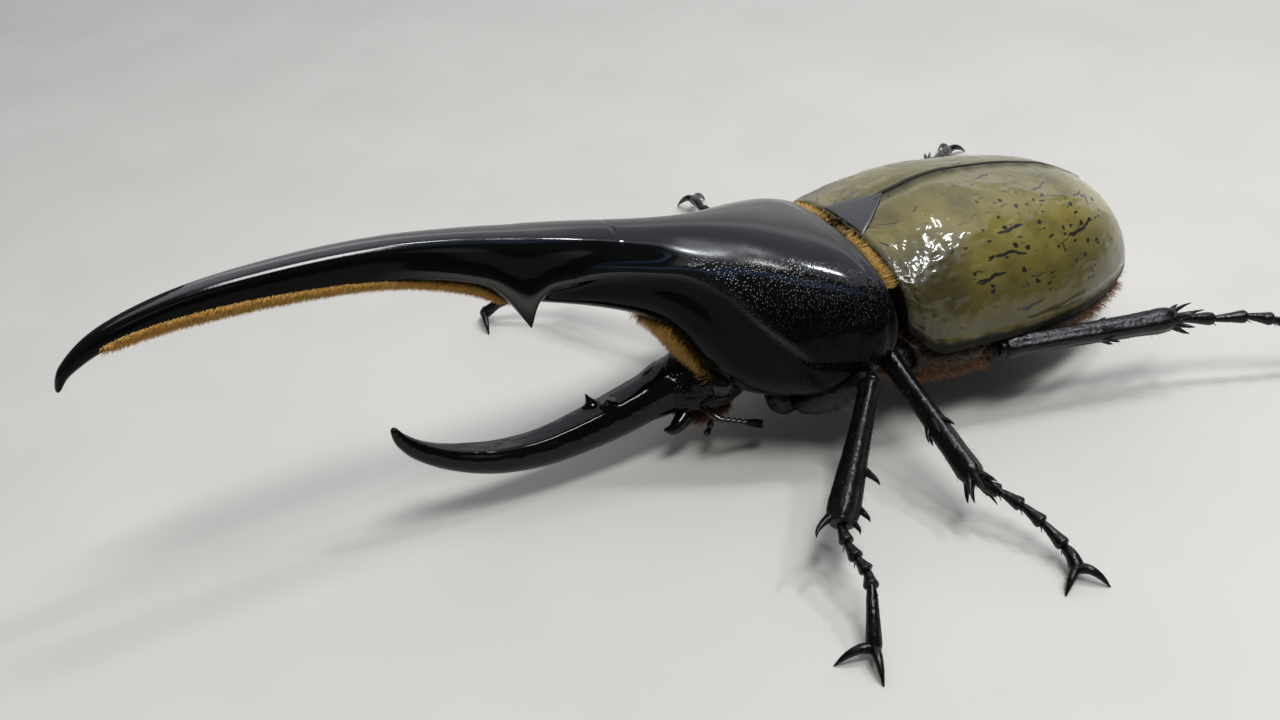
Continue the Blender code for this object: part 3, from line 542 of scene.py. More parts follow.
def dense_shares(rows, middle, width, extra):
    """Shares from 0 to 1 that crowd round a middle, where a tooth needs them."""
    fine = np.linspace(0, 1, 4001)
    amount = np.cumsum(1 + extra * hill(fine, middle, width))
    amount = (amount - amount[0]) / (amount[-1] - amount[0])
    return np.interp(np.linspace(0, 1, rows), amount, fine)


def pulled(points, root, tip, width, stretch=1.0):
    """Pull the surface round a place out to a tip, so that a tooth flows out of it."""
    root, tip = np.asarray(root, float), np.asarray(tip, float)
    flat = points.reshape(-1, 3)
    nearest = flat[np.argmin(np.linalg.norm(flat - root, axis=1))]
    far = np.linalg.norm((points - nearest) / np.array((stretch, 1.0, 1.0)), axis=2)
    weight = np.exp(-(far / width) ** 1.3) * (1 - ease(far, 1.8 * width, 3.6 * width))
    return points + weight[..., None] * (tip - nearest)


def flowing(points, width, weight):
    """Average each row with its neighbours, so that sections flow into one another."""
    reach = 3 * width
    share = np.exp(-(np.arange(-reach, reach + 1) / width) ** 2 / 2)
    padded = np.pad(points, ((reach, reach), (0, 0), (0, 0)), mode="edge")
    mean = sum(s * padded[i:i + len(points)] for i, s in enumerate(share / share.sum()))
    return points + (mean - points) * weight[:, None, None]


def from_line(points, line):
    """Distance above (plus) or below (minus) a line drawn on the side of the body."""
    fine = smooth_rows(line, np.linspace(0, 1, 160))
    near = np.full(points.shape[:2], 1e9)
    for x, z in fine:
        near = np.minimum(near, np.hypot(points[..., 0] - x, points[..., 2] - z))
    level = np.interp(points[..., 0], fine[:, 0], fine[:, 1])
    return near * np.sign(points[..., 2] - level)


SHIELD_ROWS = 150
horn = horn_rings(HORN_STATIONS, dense_shares(330, 0.235, 0.045, 3.0), COLUMNS, ROOT_TURN_SHARE,
                  flat_from=(31, 44))
shield = shield_rings(SHIELD_ROWS, COLUMNS)
# The last rows of the shield turn into the horn's first ring, where both are one ring
weight = ease(np.arange(SHIELD_ROWS), 118, SHIELD_ROWS - 1)[:, None, None]
root_like = horn[:1] - (horn[:1] - shield[-1:]) * (1 - weight)
shield = shield + (root_like - shield[-1:]) * weight
shield[-1] = horn[0] = (shield[-1] + horn[0]) / 2
whole = np.concatenate([shield, horn[1:]])
row_of_meeting = len(shield) - 1
middle_x = whole[..., 0].mean(axis=1)
whole = flowing(whole, 14, ease(middle_x, 3.5, 9) * (1 - ease(middle_x, 52, 62)))

# %% Sculpt the shield and horn
x_of = whole[..., 0]
angle = np.degrees(TURNS)[None, :].repeat(len(whole), axis=0)
side_angle = np.where(angle <= 90, angle, np.where(angle <= 270, 180 - angle, angle - 360))
height = np.zeros(angle.shape)
RIDGE_LINE = (
    (8.0, 9.5), (13.9, 16.2), (17.5, 20.5), (20.6, 24.6), (24.4, 27.5), (29.3, 29.1), (35.8, 30.7),
    (41.5, 30.9), (47.0, 31.4), (52.0, 34.2), (58.0, 36.6), (66.0, 38.2), (78.0, 39.4),
)
on_side = np.abs(np.cos(np.radians(side_angle)))
above_ridge = from_line(whole, RIDGE_LINE)
ridge_part = ease(x_of, 9, 20) * (1 - ease(x_of, 52, 66)) * ease(on_side, 0.15, 0.5)
breadth = 1.0 + 1.1 * (1 - ease(x_of, 16, 30))
# The crest of the crease, the hollow under it and the dip over it: rise, place and width
RIDGE_WAVES = ((0.62, 0, 1), (-0.42, -2.3, 1.3), (-0.16, 2.2, 1.2))
height += ridge_part * sum(rise * hill(above_ridge, place * breadth, width * breadth)
                           for rise, place, width in RIDGE_WAVES)
on_horn = ease(x_of, 10, 34) * (1 - ease(x_of, 92, 99))
edge_height = 0.2 - 0.13 * ease(x_of, 36, 50)
height += on_horn * (edge_height * hill(side_angle, 47, 13) - 0.1 * hill(side_angle, 90, 30)
                     - 0.12 * hill(side_angle, 20, 14))
# The edge along the horn is cut off a little, which gives its bright line a width
height -= 0.055 * on_horn * ease(x_of, 34, 46) * hill(side_angle, 44.8, 7)
# The raised back rim with its groove
rim_and_groove = 0.1 * hill(x_of, 0.2, 0.5) - 0.1 * hill(x_of, 1.5, 0.6)
height += rim_and_groove * (1 + 1.2 * (1 - ease(side_angle, 5, 40)))
# The swelling at the root of the teeth, a shallow cross line on the back, and the lumps of the
# side: rise, place and half length along x, then angle and half breadth in degrees
LUMPS = ((0.45, 46.8, 2.6, -30, 24), (-0.1, 33.0, 0.22, 90, 38), (0.3, 7.0, 1.2, 20, 5),
         (0.5, 8.5, 7.5, 52, 24), (0.13, 21.5, 6.5, 54, 8))
for rise, place, half_length, turn, half_breadth in LUMPS:
    height += rise * hill(x_of, place, half_length) * hill(side_angle, turn, half_breadth)
height += 0.012 * soft_noise(len(whole), COLUMNS, 24, 14, 3)
height[0] = height[-1] = 0
whole = raised(whole, height)
# The two teeth under the horn
for side, _ in SIDES:
    whole = pulled(whole, (46.9, side * 3.0, 30.6), (46.5, side * 3.3, 24.9), 1.65, 1.05)

# %% What is painted on the shield and horn
# Pits cover the low sides, golden pile grows under the horn, satin softens the top of the
# shield, and the low sides are dull; the crest of the crease and the horn's back stay bright
pits = ease(side_angle, 60, 40) * (0.4 + 0.6 * ease(side_angle, -25, 15)) * ease(x_of, -0.2, 1.0)
pits *= 1 - ease(x_of, 13, 30)
pile_edge = np.interp(x_of, (47, 52, 60, 75, 92), (60, 50, 38, 20, 8))
pile = ease(-side_angle - pile_edge, -2, 5) * ease(x_of, 48.2, 50.5) * (1 - ease(x_of, 93, 96.5))
satin = (ease(side_angle, 46, 66) * (1 - ease(x_of, 34, 60))
         + 0.7 * hill(side_angle, 46, 16) * ease(x_of, 36, 46))
low_side = 1 - ease(x_of, 20, 40)
dull = 1 - ease(side_angle, 12 + 16 * low_side, 34 + 10 * low_side)
crest = ridge_part * hill(above_ridge, 0.1, 0.5)
satin += 0.8 * crest + 0.9 * hill(x_of, 21, 6) * hill(side_angle, 54, 9)
dull = dull * (1 - crest) - 1.5 * crest
dull -= 1.3 * ease(side_angle, 50, 68) * ease(x_of, 34, 48)
print("shield and horn rows", whole.shape[0], "highest sculpted", round(float(height.max()), 2), "mm")


# %% Limbs along a path, and numbers painted on a form
def limb_rings(path, radii, rows, columns, flat=1.0, up=(0, 0, 1)):
    """Rings along a smooth path, with smooth radii."""
    shares = np.linspace(0, 1, rows)
    centre = smooth_rows(path, shares)
    radius = smooth_rows(np.asarray(radii, float)[:, None], shares)[:, 0]
    ahead = np.gradient(centre, axis=0)
    ahead /= np.maximum(np.linalg.norm(ahead, axis=1, keepdims=True), 1e-9)
    across = np.cross(ahead, np.asarray(up, float))
    across /= np.maximum(np.linalg.norm(across, axis=1, keepdims=True), 1e-9)
    above = np.cross(across, ahead)
    turns = full_turn(columns)
    return (centre[:, None] + radius[:, None, None] * (across[:, None] * np.cos(turns)[None, :, None]
            + above[:, None] * np.sin(turns)[None, :, None] * flat))


def limb(name, path, radii, rows, columns, floor=False, **form):
    """A closed limb along a smooth path."""
    return rolled_sheet(name, closed_ends(limb_rings(path, radii, rows, columns, **form)), floor)


def between(start, end, *shares):
    """Places on the way from start to end."""
    return [start + (end - start) * share for share in shares]


def paint(piece, **numbers):
    """Store numbers by name on the piece's points: one for all, or one for each."""
    for name, values in numbers.items():
        attribute = piece.data.attributes.new(name, "FLOAT", "POINT")
        attribute.data.foreach_set("value", np.full(len(piece.data.vertices), values, np.float32))


def paint_by_place(piece, points, fields):
    """Store numbers of a table of points on the piece's nearest points."""
    tree = KDTree(points.shape[0] * points.shape[1])
    for k, place in enumerate(model_place(points.reshape(-1, 3))):
        tree.insert(place, k)
    tree.balance()
    nearest = np.array([tree.find(v.co)[1] for v in piece.data.vertices])
    paint(piece, **{name: values.ravel()[nearest] for name, values in fields.items()})


# %% Shield and horn
for name, part, node, material in (
    ("pronotum_shell", slice(None, row_of_meeting + 1), "pronotum", POLISHED_BLACK),
    ("thoracic_horn_shell", slice(row_of_meeting, None), "thoracic_horn", HORN_BLACK),
):
    piece = rolled_sheet(name, closed_ends(whole[part]))
    fields = {"pits": pits, "pile": pile, "satin": satin, "dull": dull}
    paint_by_place(piece, whole[part], {key: values[part] for key, values in fields.items()})
    finished(piece, [node], material)

# %% [markdown]
# The two wing cases are half domes that meet along a seam. From above they are nearly straight
# at the sides and rounded off behind; from the side their crest rises fast, then falls to the
# rear. The shoulders in front are squarer, with a low knob, a fine ridge runs beside the seam,
# a groove sets off the rim, and slow waves make the skin uneven. The fields that the olive
# material reads are worked out here, on the same table of points.

# %% Wing cases
ELYTRA_FRONT = -2.9
ELYTRA_LENGTH = 49.8
ELYTRA_HALF_WIDTH = 20.4
ELYTRA_SHOULDER = ((0.0, 0.84), (0.04, 0.91), (0.15, 0.95), (0.35, 0.98), (0.6, 1.0), (1.0, 1.0))
ELYTRA_CREST = ((0.0, 24.3), (0.15, 26.7), (0.3, 27.6), (0.45, 26.8), (0.6, 25.3), (0.75, 23.0),
                (0.88, 19.4), (0.96, 14.2), (1.0, 9.1))
HALF_GAP = 0.15


def crest_level(t):
    """Level of the crest, on the same smooth curve through the table as the solids use."""
    knots = np.array([row[0] for row in ELYTRA_CREST])
    place = np.interp(t, knots, np.arange(len(knots)) / (len(knots) - 1))
    return smooth_rows(ELYTRA_CREST, place)[:, 1]


def rim_level(t):
    """Level of the rim, which drops to the rear and rises at the shoulder."""
    return 10.2 - 3.2 * t + 1.5 * t * t + 4.6 * np.maximum(1 - t / 0.12, 0) ** 2


def case_rings(side, rows=190, arc=120):
    """Half rings of one wing case: along the flat underside to the rim, then over to the seam."""
    # Shares of the length, closer together at the front and at the rounded end
    t = 0.996 * (0.5 - 0.5 * np.cos(np.linspace(0, math.pi, rows)))
    # The sides close in a squarish curve behind the first third
    back = np.maximum((t - 0.32) / 0.68, 0)
    closing = np.maximum(1 - back ** 2.18, 0) ** (1 / 2.18)
    half_width = ELYTRA_HALF_WIDTH * np.interp(t, *zip(*ELYTRA_SHOULDER)) * closing
    rim_z = rim_level(t)
    tall = crest_level(t) - rim_z
    # Below 1 the sections are squarer, as at the shoulders
    square = (0.75 + 0.25 * np.minimum(t / 0.4, 1))[:, None]
    turns = np.linspace(0, math.pi / 2, arc)
    sideways, upwards = np.cos(turns), np.sin(turns)
    y = half_width[:, None] * sideways ** square
    z = rim_z[:, None] + tall[:, None] * upwards ** square
    degrees = np.degrees(turns)[None, :]
    t_all = np.broadcast_to(t[:, None], y.shape)
    # A knob at the shoulder and one behind, the ridge and groove beside the seam, the rim's groove
    lift = (0.35 * hill(t_all, 0.08, 0.05) * hill(degrees, 36, 13)
            + 0.25 * hill(t_all, 0.86, 0.06) * hill(degrees, 42, 16)
            + 0.22 * hill(y, 0.5, 0.45) - 0.16 * hill(y, 1.5, 0.5)
            - 0.26 * hill(degrees, 6.0, 2.0) * (1 - hill(t_all, 0.0, 0.03)))
    shoulder_part = hill(t_all, 0.12, 0.16) * hill(degrees, 50, 30)
    lift += ((0.045 + 0.05 * shoulder_part) * soft_noise(rows, arc, 60, 34, 11)
             + (0.07 + 0.13 * shoulder_part) * soft_noise(rows, arc, 14, 9, 12))
    lift *= closing[:, None] ** 0.5
    y = np.maximum(y + lift * sideways, HALF_GAP)
    z = z + lift * upwards + 0.02
    ring = np.empty((rows, arc + 2, 3))
    ring[..., 0] = (ELYTRA_FRONT - ELYTRA_LENGTH * t)[:, None]
    ring[:, 0, 1], ring[:, 0, 2] = HALF_GAP, rim_z
    ring[:, 1:-1, 1], ring[:, 1:-1, 2] = y, z
    ring[:, -1] = ring[:, 0]
    ring[..., 1] *= side
    steps = np.linalg.norm(np.diff(ring[:, 1:-1], axis=1), axis=2)
    dark_edge = np.maximum.reduce([
        0.9 * hill(y, 0.1, 0.9 + 0.3 * soft_noise(rows, arc, 50, 6, 13)),
        0.97 * (1 - ease(degrees, 2.5, 5.5 + 2 * soft_noise(rows, arc, 40, 6, 14))),
        0.8 * (1 - ease(t_all, 0.0, 0.025)),
    ])
    cloud = 0.06 * soft_noise(rows, arc, 20, 12, 15)
    # Painted shade, darker near the seam before the rear, at the front and low on the side
    shaded = np.maximum.reduce([
        0.55 * hill(y, 0, 9.0) * (1 - ease(t_all, 0.7, 0.95)),
        0.95 * (1 - ease(t_all + cloud, 0.08, 0.38)) * (1 - ease(degrees, 40, 88)),
        0.7 * (1 - ease(degrees + 60 * cloud, 18, 64)),
    ])
    # Painted sheen, paler and greyer over the rear and along the seam
    along_seam = 0.4 * hill(y, 0.5, 3.0) * ease(t_all, 0.3, 0.6)
    painted_sheen = 0.95 * np.clip(ease(t_all, 0.66, 0.97) + along_seam, 0, 1)
    marked = hill(t_all, 0.48, 0.33) * hill(degrees, 42, 26)
    # The dome's numbers, with zero for the underside at both ends of each half ring
    fields = {name: np.pad(values, ((0, 0), (1, 1))) for name, values in
              (("marked", marked), ("dark_edge", dark_edge), ("painted_sheen", painted_sheen), ("shaded", shaded))}
    fields["along"] = np.broadcast_to((ELYTRA_LENGTH * t)[:, None], (rows, arc + 2))
    fields["round"] = np.pad(np.cumsum(steps, axis=1), ((0, 0), (2, 1)))
    return ring, fields


for side, word in SIDES:
    ring, fields = case_rings(side)
    case = rolled_sheet("elytron_" + word + "_shell", closed_ends(ring))
    paint_by_place(case, ring, fields)
    finished(case, ["elytron_" + word], OLIVE)

# %% [markdown]
# The scutellum is the small triangular shield between the roots of the wing cases, smooth and
# dark. It is one low slab with rounded edges that narrows to the rear and rises with the crest.

# %% Scutellum
t = np.linspace(0, 1, 40)
turns = full_turn(61)
half = 4.9 * (1 - t ** 1.25) + 0.35
top = 24.7 + 2.15 * t ** 0.8
small_shield = np.empty((40, 61, 3))
small_shield[..., 0] = (-3.3 - 6.7 * t)[:, None]
small_shield[..., 1] = half[:, None] * signed_power(np.cos(turns), 0.5)[None, :]
small_shield[..., 2] = (top - 1.0)[:, None] + 1.0 * signed_power(np.sin(turns), 0.45)[None, :]
scutellum = rolled_sheet("scutellum_shell", closed_ends(small_shield))
paint(scutellum, pits=0.12, satin=2.4, dull=-2.3)
finished(scutellum, ["scutellum"], POLISHED_BLACK)

# %% [markdown]
# The head is a short, deep capsule that the shield nearly hides. It widens at the eyes and
# runs into its horn, which curves up like a tusk and carries two small teeth on its upper side.
# The horn's rings serve here too, and the eyes are plain balls with their lenses in the material.

# %% Head, head horn and eyes
# As for the horn: place and level of the axis, half height and half width
HEAD_STATIONS = (
    (14.6, 6.8, 3.4, 4.4), (17.5, 6.6, 4.6, 5.8), (21.5, 6.4, 5.1, 6.2), (25.5, 6.2, 4.4, 4.7),
    (28.6, 6.1, 3.9, 3.8),
)
HEAD_HORN_STATIONS = (
    (27.4, 6.4, 3.6, 3.5), (34.0, 4.6, 3.4, 3.2), (40.0, 3.6, 3.1, 2.9), (47.0, 3.1, 2.7, 2.5),
    (53.5, 4.1, 2.3, 2.2), (59.0, 6.3, 1.9, 1.8), (63.4, 9.2, 1.45, 1.4),
    (65.8, 12.0, 1.0, 1.0), (66.7, 14.5, 0.4, 0.45),
)
HEAD_ROWS, TUSK_ROWS, HEAD_COLUMNS = 90, 210, 97
head = horn_rings(HEAD_STATIONS, np.linspace(0, 1, HEAD_ROWS), HEAD_COLUMNS, 5 / 7, tip_share=0.15)
head_angle = np.degrees(full_turn(HEAD_COLUMNS))[None, :]
# Brows over the eyes, hollows before them
head_lift = (0.5 * hill(head[..., 0], 22.6, 1.2) * (hill(head_angle, 25, 16) + hill(head_angle, 155, 16))
             - 0.35 * hill(head[..., 0], 25.2, 0.9) * (hill(head_angle, 20, 22) + hill(head_angle, 160, 22))
             + 0.08 * soft_noise(HEAD_ROWS, HEAD_COLUMNS, 24, 20, 21))
head = raised(head, head_lift)
head_piece = rolled_sheet("head_shell", closed_ends(head))
paint(head_piece, pits=0.8, dull=0.6)
finished(head_piece, ["head"], POLISHED_BLACK)

tusk = horn_rings(HEAD_HORN_STATIONS, dense_shares(TUSK_ROWS, 0.2, 0.07, 2.0), HEAD_COLUMNS, 5 / 19)
tusk_x = tusk[..., 0]
edges_on_top = (0.28 * (hill(head_angle, 52, 13) + hill(head_angle, 128, 13))
                - 0.18 * hill(head_angle, 90, 20))
tusk_lift = (edges_on_top * ease(tusk_x, 28, 36) * (1 - ease(tusk_x, 56, 64))
             + 0.5 * (1 - ease(tusk_x, 27.4, 31.0)) + 0.02 * soft_noise(TUSK_ROWS, HEAD_COLUMNS, 50, 24, 22))
tusk = raised(tusk, tusk_lift)
for x, side in ((36.6, 1), (38.6, -1)):
    tusk = pulled(tusk, (x, side * 1.0, 7.4), (x + 0.4, side * 1.5, 8.7), 0.6)
tusk_piece = rolled_sheet("cephalic_horn_shell", closed_ends(tusk))
paint(tusk_piece, pits=0.15, dull=0.4)
finished(tusk_piece, ["cephalic_horn"], HORN_BLACK)

for side, word in SIDES:
    place = model_place((20.8, side * 5.9, 8.0))
    bpy.ops.mesh.primitive_uv_sphere_add(segments=48, ring_count=32, radius=1.9 * MM, location=place)
    eye = bpy.context.object
    eye.name = eye.data.name = "eye_" + word + "_ball"
    bpy.ops.object.transform_apply(location=True, rotation=True, scale=True)
    bpy.ops.object.shade_smooth()
    finished(eye, ["eye_" + word], EYE)

# %% [markdown]
# The chin, the skin of the collar and the plates underneath already have the right form as
# solids. They are copied: the copy's loose triangles are merged and turned back to quads, and
# a subdivision surface rounds them.

# %% Rounded copies of the small solids
def rounded_copy(node, name, levels, material):
    """A merged copy of a solid, rounded off, in its place."""
    only(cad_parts[node])
    bpy.ops.object.duplicate()
    copy = bpy.context.object
    for key in list(copy.keys()):
        del copy[key]
    copy.parent = None
    copy.name = copy.data.name = name
    bpy.ops.object.mode_set(mode="EDIT")
    bpy.ops.mesh.select_all(action="SELECT")
    bpy.ops.mesh.remove_doubles(threshold=MERGED_BELOW)
    bpy.ops.mesh.tris_convert_to_quads(face_threshold=0.7, shape_threshold=0.7)
    bpy.ops.object.mode_set(mode="OBJECT")
    rounding = copy.modifiers.new("rounding", "SUBSURF")
    rounding.levels = rounding.render_levels = levels
    bpy.ops.object.modifier_apply(modifier=rounding.name)
    bpy.ops.object.shade_smooth()
    finished(copy, [node], material)


rounded_copy("chin", "chin_plate", 2, MOUTH)
for node, name in (("collar", "collar_skin"), ("breast", "breast_plate"), ("abdomen", "abdomen_plates")):
    rounded_copy(node, name, 1, DARK_SKIN)

# %% [markdown]
# Each leg has four lengths: a short hip, a thigh, a shin with teeth and spurs, and a foot of
# five small joints that ends in two hooked claws. Every length is rolled from its own radii.
# The shin gets long keels, the front shin three outer teeth and a strong inner one, and the
# others two combs of spines and two spurs. Left and right differ only by the places of their
# joints, since the beetle stands in mid-step, so the same functions make all six.

# %% Sizes of the legs
CLAW_Z = -4.95
THICKNESS = {"front": (2.5, 1.9, 1.65), "middle": (2.2, 1.7, 1.55), "hind": (2.6, 1.9, 1.5)}
# The way that the teeth point, then coxa, hip, knee and ankle, four joints of the foot, its
# sole and the tips of the two claws
LEGS = {
    "front_left": (
        (-1.0, 0.35, -0.1), (12.5, 5.2, 3.6), (10.4, 9.0, 2.2), (4.9, 20.0, 11.1), (20.3, 36.0, 3.8),
        (20.9, 38.5, 2.9), (21.1, 41.0, 2.5), (20.9, 43.0, 1.9), (21.8, 45.2, 1.5),
        (24.6, 50.0, -3.6), (29.2, 48.4, CLAW_Z), (25.9, 53.9, CLAW_Z),
    ),
    "front_right": (
        (0.4, 0.0, 1.0), (12.5, -5.2, 3.6), (10.4, -9.0, 2.2), (15.5, -23.0, 11.0), (27.0, -41.5, 4.5),
        (29.0, -43.3, 3.4), (31.0, -45.0, 2.3), (33.0, -46.3, 1.2), (35.1, -47.6, 0.3),
        (40.1, -51.0, -3.2), (40.6, -46.6, CLAW_Z), (38.2, -53.6, CLAW_Z),
    ),
    "middle_left": (
        (0.9, 0.2, -0.2), (-9.5, 5.6, 2.8), (-12.0, 9.2, 2.2), (0.2, 15.8, 11.8), (-0.8, 36.0, 1.9),
        (-2.6, 38.8, 1.2), (-3.9, 41.6, 0.3), (-4.8, 44.7, -0.8), (-5.4, 48.2, -2.3),
        (-5.0, 51.2, -3.6), (-1.6, 53.0, CLAW_Z), (-7.3, 54.5, CLAW_Z),
    ),
    "middle_right": (
        (0.9, -0.2, -0.2), (-9.5, -5.6, 2.8), (-12.0, -9.2, 2.2), (-10.5, -27.0, 9.2), (-13.0, -48.8, 0.8),
        (-12.7, -52.0, -0.4), (-12.2, -55.3, -1.0), (-11.5, -58.4, -1.2), (-10.4, -61.6, -1.3),
        (-11.6, -68.0, -1.9), (-10.0, -72.6, CLAW_Z), (-16.0, -71.9, CLAW_Z),
    ),
    "hind_left": (
        (0.1, 0.2, -1.0), (-18.6, 6.0, 2.8), (-22.6, 8.4, 2.0), (-17.6, 18.9, 7.3), (-43.9, 26.0, 7.1),
        (-49.9, 28.0, 6.0), (-54.2, 30.0, 6.0), (-57.6, 31.7, 5.2), (-61.0, 33.2, 3.4),
        (-68.0, 35.6, -3.4), (-71.8, 39.4, CLAW_Z), (-73.4, 34.0, CLAW_Z),
    ),
    "hind_right": (
        (0.1, -0.2, -1.0), (-18.6, -6.0, 2.8), (-22.6, -8.4, 2.4), (-30.5, -27.0, 9.0), (-52.0, -43.5, 3.6),
        (-55.5, -46.6, 2.5), (-58.4, -49.2, 1.5), (-61.0, -51.6, 0.5), (-63.4, -53.9, -0.5),
        (-68.0, -59.2, -3.4), (-72.9, -59.6, CLAW_Z), (-69.4, -64.0, CLAW_Z),
    ),
}


# %% Shapes of the leg's lengths
def unit(vector):
    vector = np.asarray(vector, float)
    return vector / np.linalg.norm(vector)


def bent_cone(root, tip, root_radius, bend=(0, 0, 0), flat=1.0, rows=12, columns=13):
    """A tooth or spine that curves from root to tip, flared at the root."""
    root, tip, bend = (np.asarray(v, float) for v in (root, tip, bend))
    path = (root, root + (tip - root) * 0.4 + bend * 0.8, root + (tip - root) * 0.75 + bend * 0.7, tip)
    radii = (root_radius * 1.25, root_radius * 0.66, root_radius * 0.36, 0.05)
    up = unit(np.cross(tip - root, (0.31, 0.77, 0.55)))
    return limb("spine", path, radii, rows, columns, floor=True, flat=flat, up=up)


def thigh_piece(hip, knee, size):
    radii = [size * k for k in (0.45, 0.78, 1.0, 0.92, 0.74, 0.5)]
    rings = limb_rings(between(hip, knee, 0.0, 0.12, 0.4, 0.75, 0.94, 1.0), radii, 60, 41)
    lift = 0.06 * np.cos(5 * full_turn(41)) + 0.05 * soft_noise(60, 41, 22, 12, 31)
    return rolled_sheet("thigh", closed_ends(raised(rings, lift)))


def shin_piece(knee, ankle, shin, apex, toward, is_front, seed):
    """A shin with keels, from its radius and its end's, and its teeth on the side it turns toward."""
    along = unit(ankle - knee)
    toward = unit(toward - along * toward.dot(along))
    beside = np.cross(along, toward)
    shares = (0.0, 0.05, 0.14, 0.3, 0.55, 0.8, 0.93, 1.0)
    widths = ((0.52, 0.84, 0.76, 0.74, 0.92, 1.1, 1.13, 0.78) if is_front
              else (0.55, 0.92, 0.86, 0.82, 0.94, 1.02, 1.08, 0.75))
    radii = [(shin if s < 0.5 else (shin + apex) / 2) * w for s, w in zip(shares, widths)]
    rows, columns = 130, 61
    rings = limb_rings(between(knee, ankle, *shares), radii, rows, columns, up=toward)
    turn = full_turn(columns)[None, :]
    place = np.linspace(0, 1, rows)[:, None]
    body = ease(place, 0.08, 0.2) * (1 - ease(place, 0.93, 1.0))
    lift = body * (0.12 * np.cos(4 * turn) + 0.02 * np.cos(9 * turn + 1.3))
    lift = lift - 0.22 * hill(place, 0.085, 0.02) + 0.12 * hill(place, 0.965, 0.02)
    lift = lift + body * 0.03 * soft_noise(rows, columns, 26, 14, seed)
    lift = lift + 0.012 * soft_noise(rows, columns, 70, 28, seed + 1)
    parts = [rolled_sheet("shin", closed_ends(raised(rings, lift)))]
    if is_front:
        for share, reach, root in ((0.62, 2.2, 1.1), (0.86, 1.9, 1.15), (0.95, 1.0, 0.95)):
            base = knee + (ankle - knee) * share
            tip = base + toward * (apex + reach) + along * 1.7
            parts.append(bent_cone(base + toward * apex * 0.35, tip, root, bend=toward * 0.45 - along * 0.2,
                                   flat=0.7))
        base = knee + (ankle - knee) * 0.93
        tip = base - toward * (apex + 0.9) + along * 4.3
        parts.append(bent_cone(base - toward * 0.6, tip, 0.95, bend=-toward * 0.75, flat=0.85, rows=18))
    else:
        for share, reach, count in ((0.56, 1.2, 5), (0.97, 1.4, 6)):
            base = knee + (ankle - knee) * share
            for k in range(count):
                swing = math.pi * (k / (count - 1) - 0.5) * 1.3
                out = toward * math.cos(swing) + beside * math.sin(swing)
                tip = base + out * (apex + reach * 0.75) + along * (1.2 + reach)
                parts.append(bent_cone(base + out * apex * 0.5, tip, 0.62, bend=out * 0.25))
        for spread in (-0.9, 0.9):
            base = knee + (ankle - knee) * 0.96
            out = unit(toward * -0.7 + beside * spread)
            tip = base + out * (apex + 0.6) + along * 4.6
            parts.append(bent_cone(base + out * 0.4, tip, 0.55, bend=out * 0.3))
    return joined("shin", parts)


def foot_piece(joints, claws):
    """A foot through its joints, from ankle to sole, with short spines and two claws."""
    parts = []
    for number, (start, end) in enumerate(zip(joints, joints[1:])):
        last = number == 4
        along = unit(end - start)
        radii = (0.4, 0.56, 0.76, 0.98, 0.56) if not last else (0.45, 0.7, 0.84, 1.02, 0.8)
        path = between(start, end, -0.06, 0.12, 0.5, 0.86, 0.98)
        if last:
            path[2] = path[2] + (0, 0, 0.35)
        parts.append(limb("joint", path, radii, 26, 21, floor=True))
        if not last:
            down = unit(np.cross(np.cross(along, (0, 0, -1.0)), along))
            wide = np.cross(along, down)
            for spread in (-1, 1):
                base = start + (end - start) * 0.82
                tip = base + down * 0.75 + wide * spread * 0.7 + along * 1.15
                parts.append(bent_cone(base, tip, 0.22, rows=6, columns=9))
    claw_root = joints[-2] + (joints[-1] - joints[-2]) * 0.93
    arch = np.array((0, 0, 1.15))
    for tip in claws:
        path = (claw_root, claw_root + (tip - claw_root) * 0.35 + arch * 0.75,
                claw_root + (tip - claw_root) * 0.7 + arch * 0.65, tip)
        parts.append(limb("claw", path, (0.78, 0.62, 0.42, 0.1), 26, 17, floor=True))
    return joined("foot", parts)


for number, (name, places) in enumerate(LEGS.items()):
    toward, coxa, hip, knee, *foot = (np.array(place, float) for place in places)
    pair = name.split("_")[0]
    thigh, shin, apex = THICKNESS[pair]
    hip_piece = limb("hip", between(coxa, hip, 0, 0.35, 0.8, 1.0), (1.7, 2.7, 2.4, 1.4), 30, 33)
    thigh_made = thigh_piece(hip, knee, thigh)
    shin_made = shin_piece(knee, foot[0], shin, apex, toward, pair == "front", 40 + 2 * number)
    foot_made = foot_piece(foot[:6], foot[6:])
    for part, piece in (("coxa", hip_piece), ("femur", thigh_made), ("tibia", shin_made),
                        ("tarsus", foot_made)):
        piece.name = piece.data.name = part + "_" + name + "_shell"
        finished(piece, [part + "_" + name], LEG_BLACK)

# %% [markdown]
# The feelers are elbowed: a long first joint, five beads and a club of three flat leaves, which
# the beetle spreads to smell. Jaws and mouth feelers are short and lie under the head.

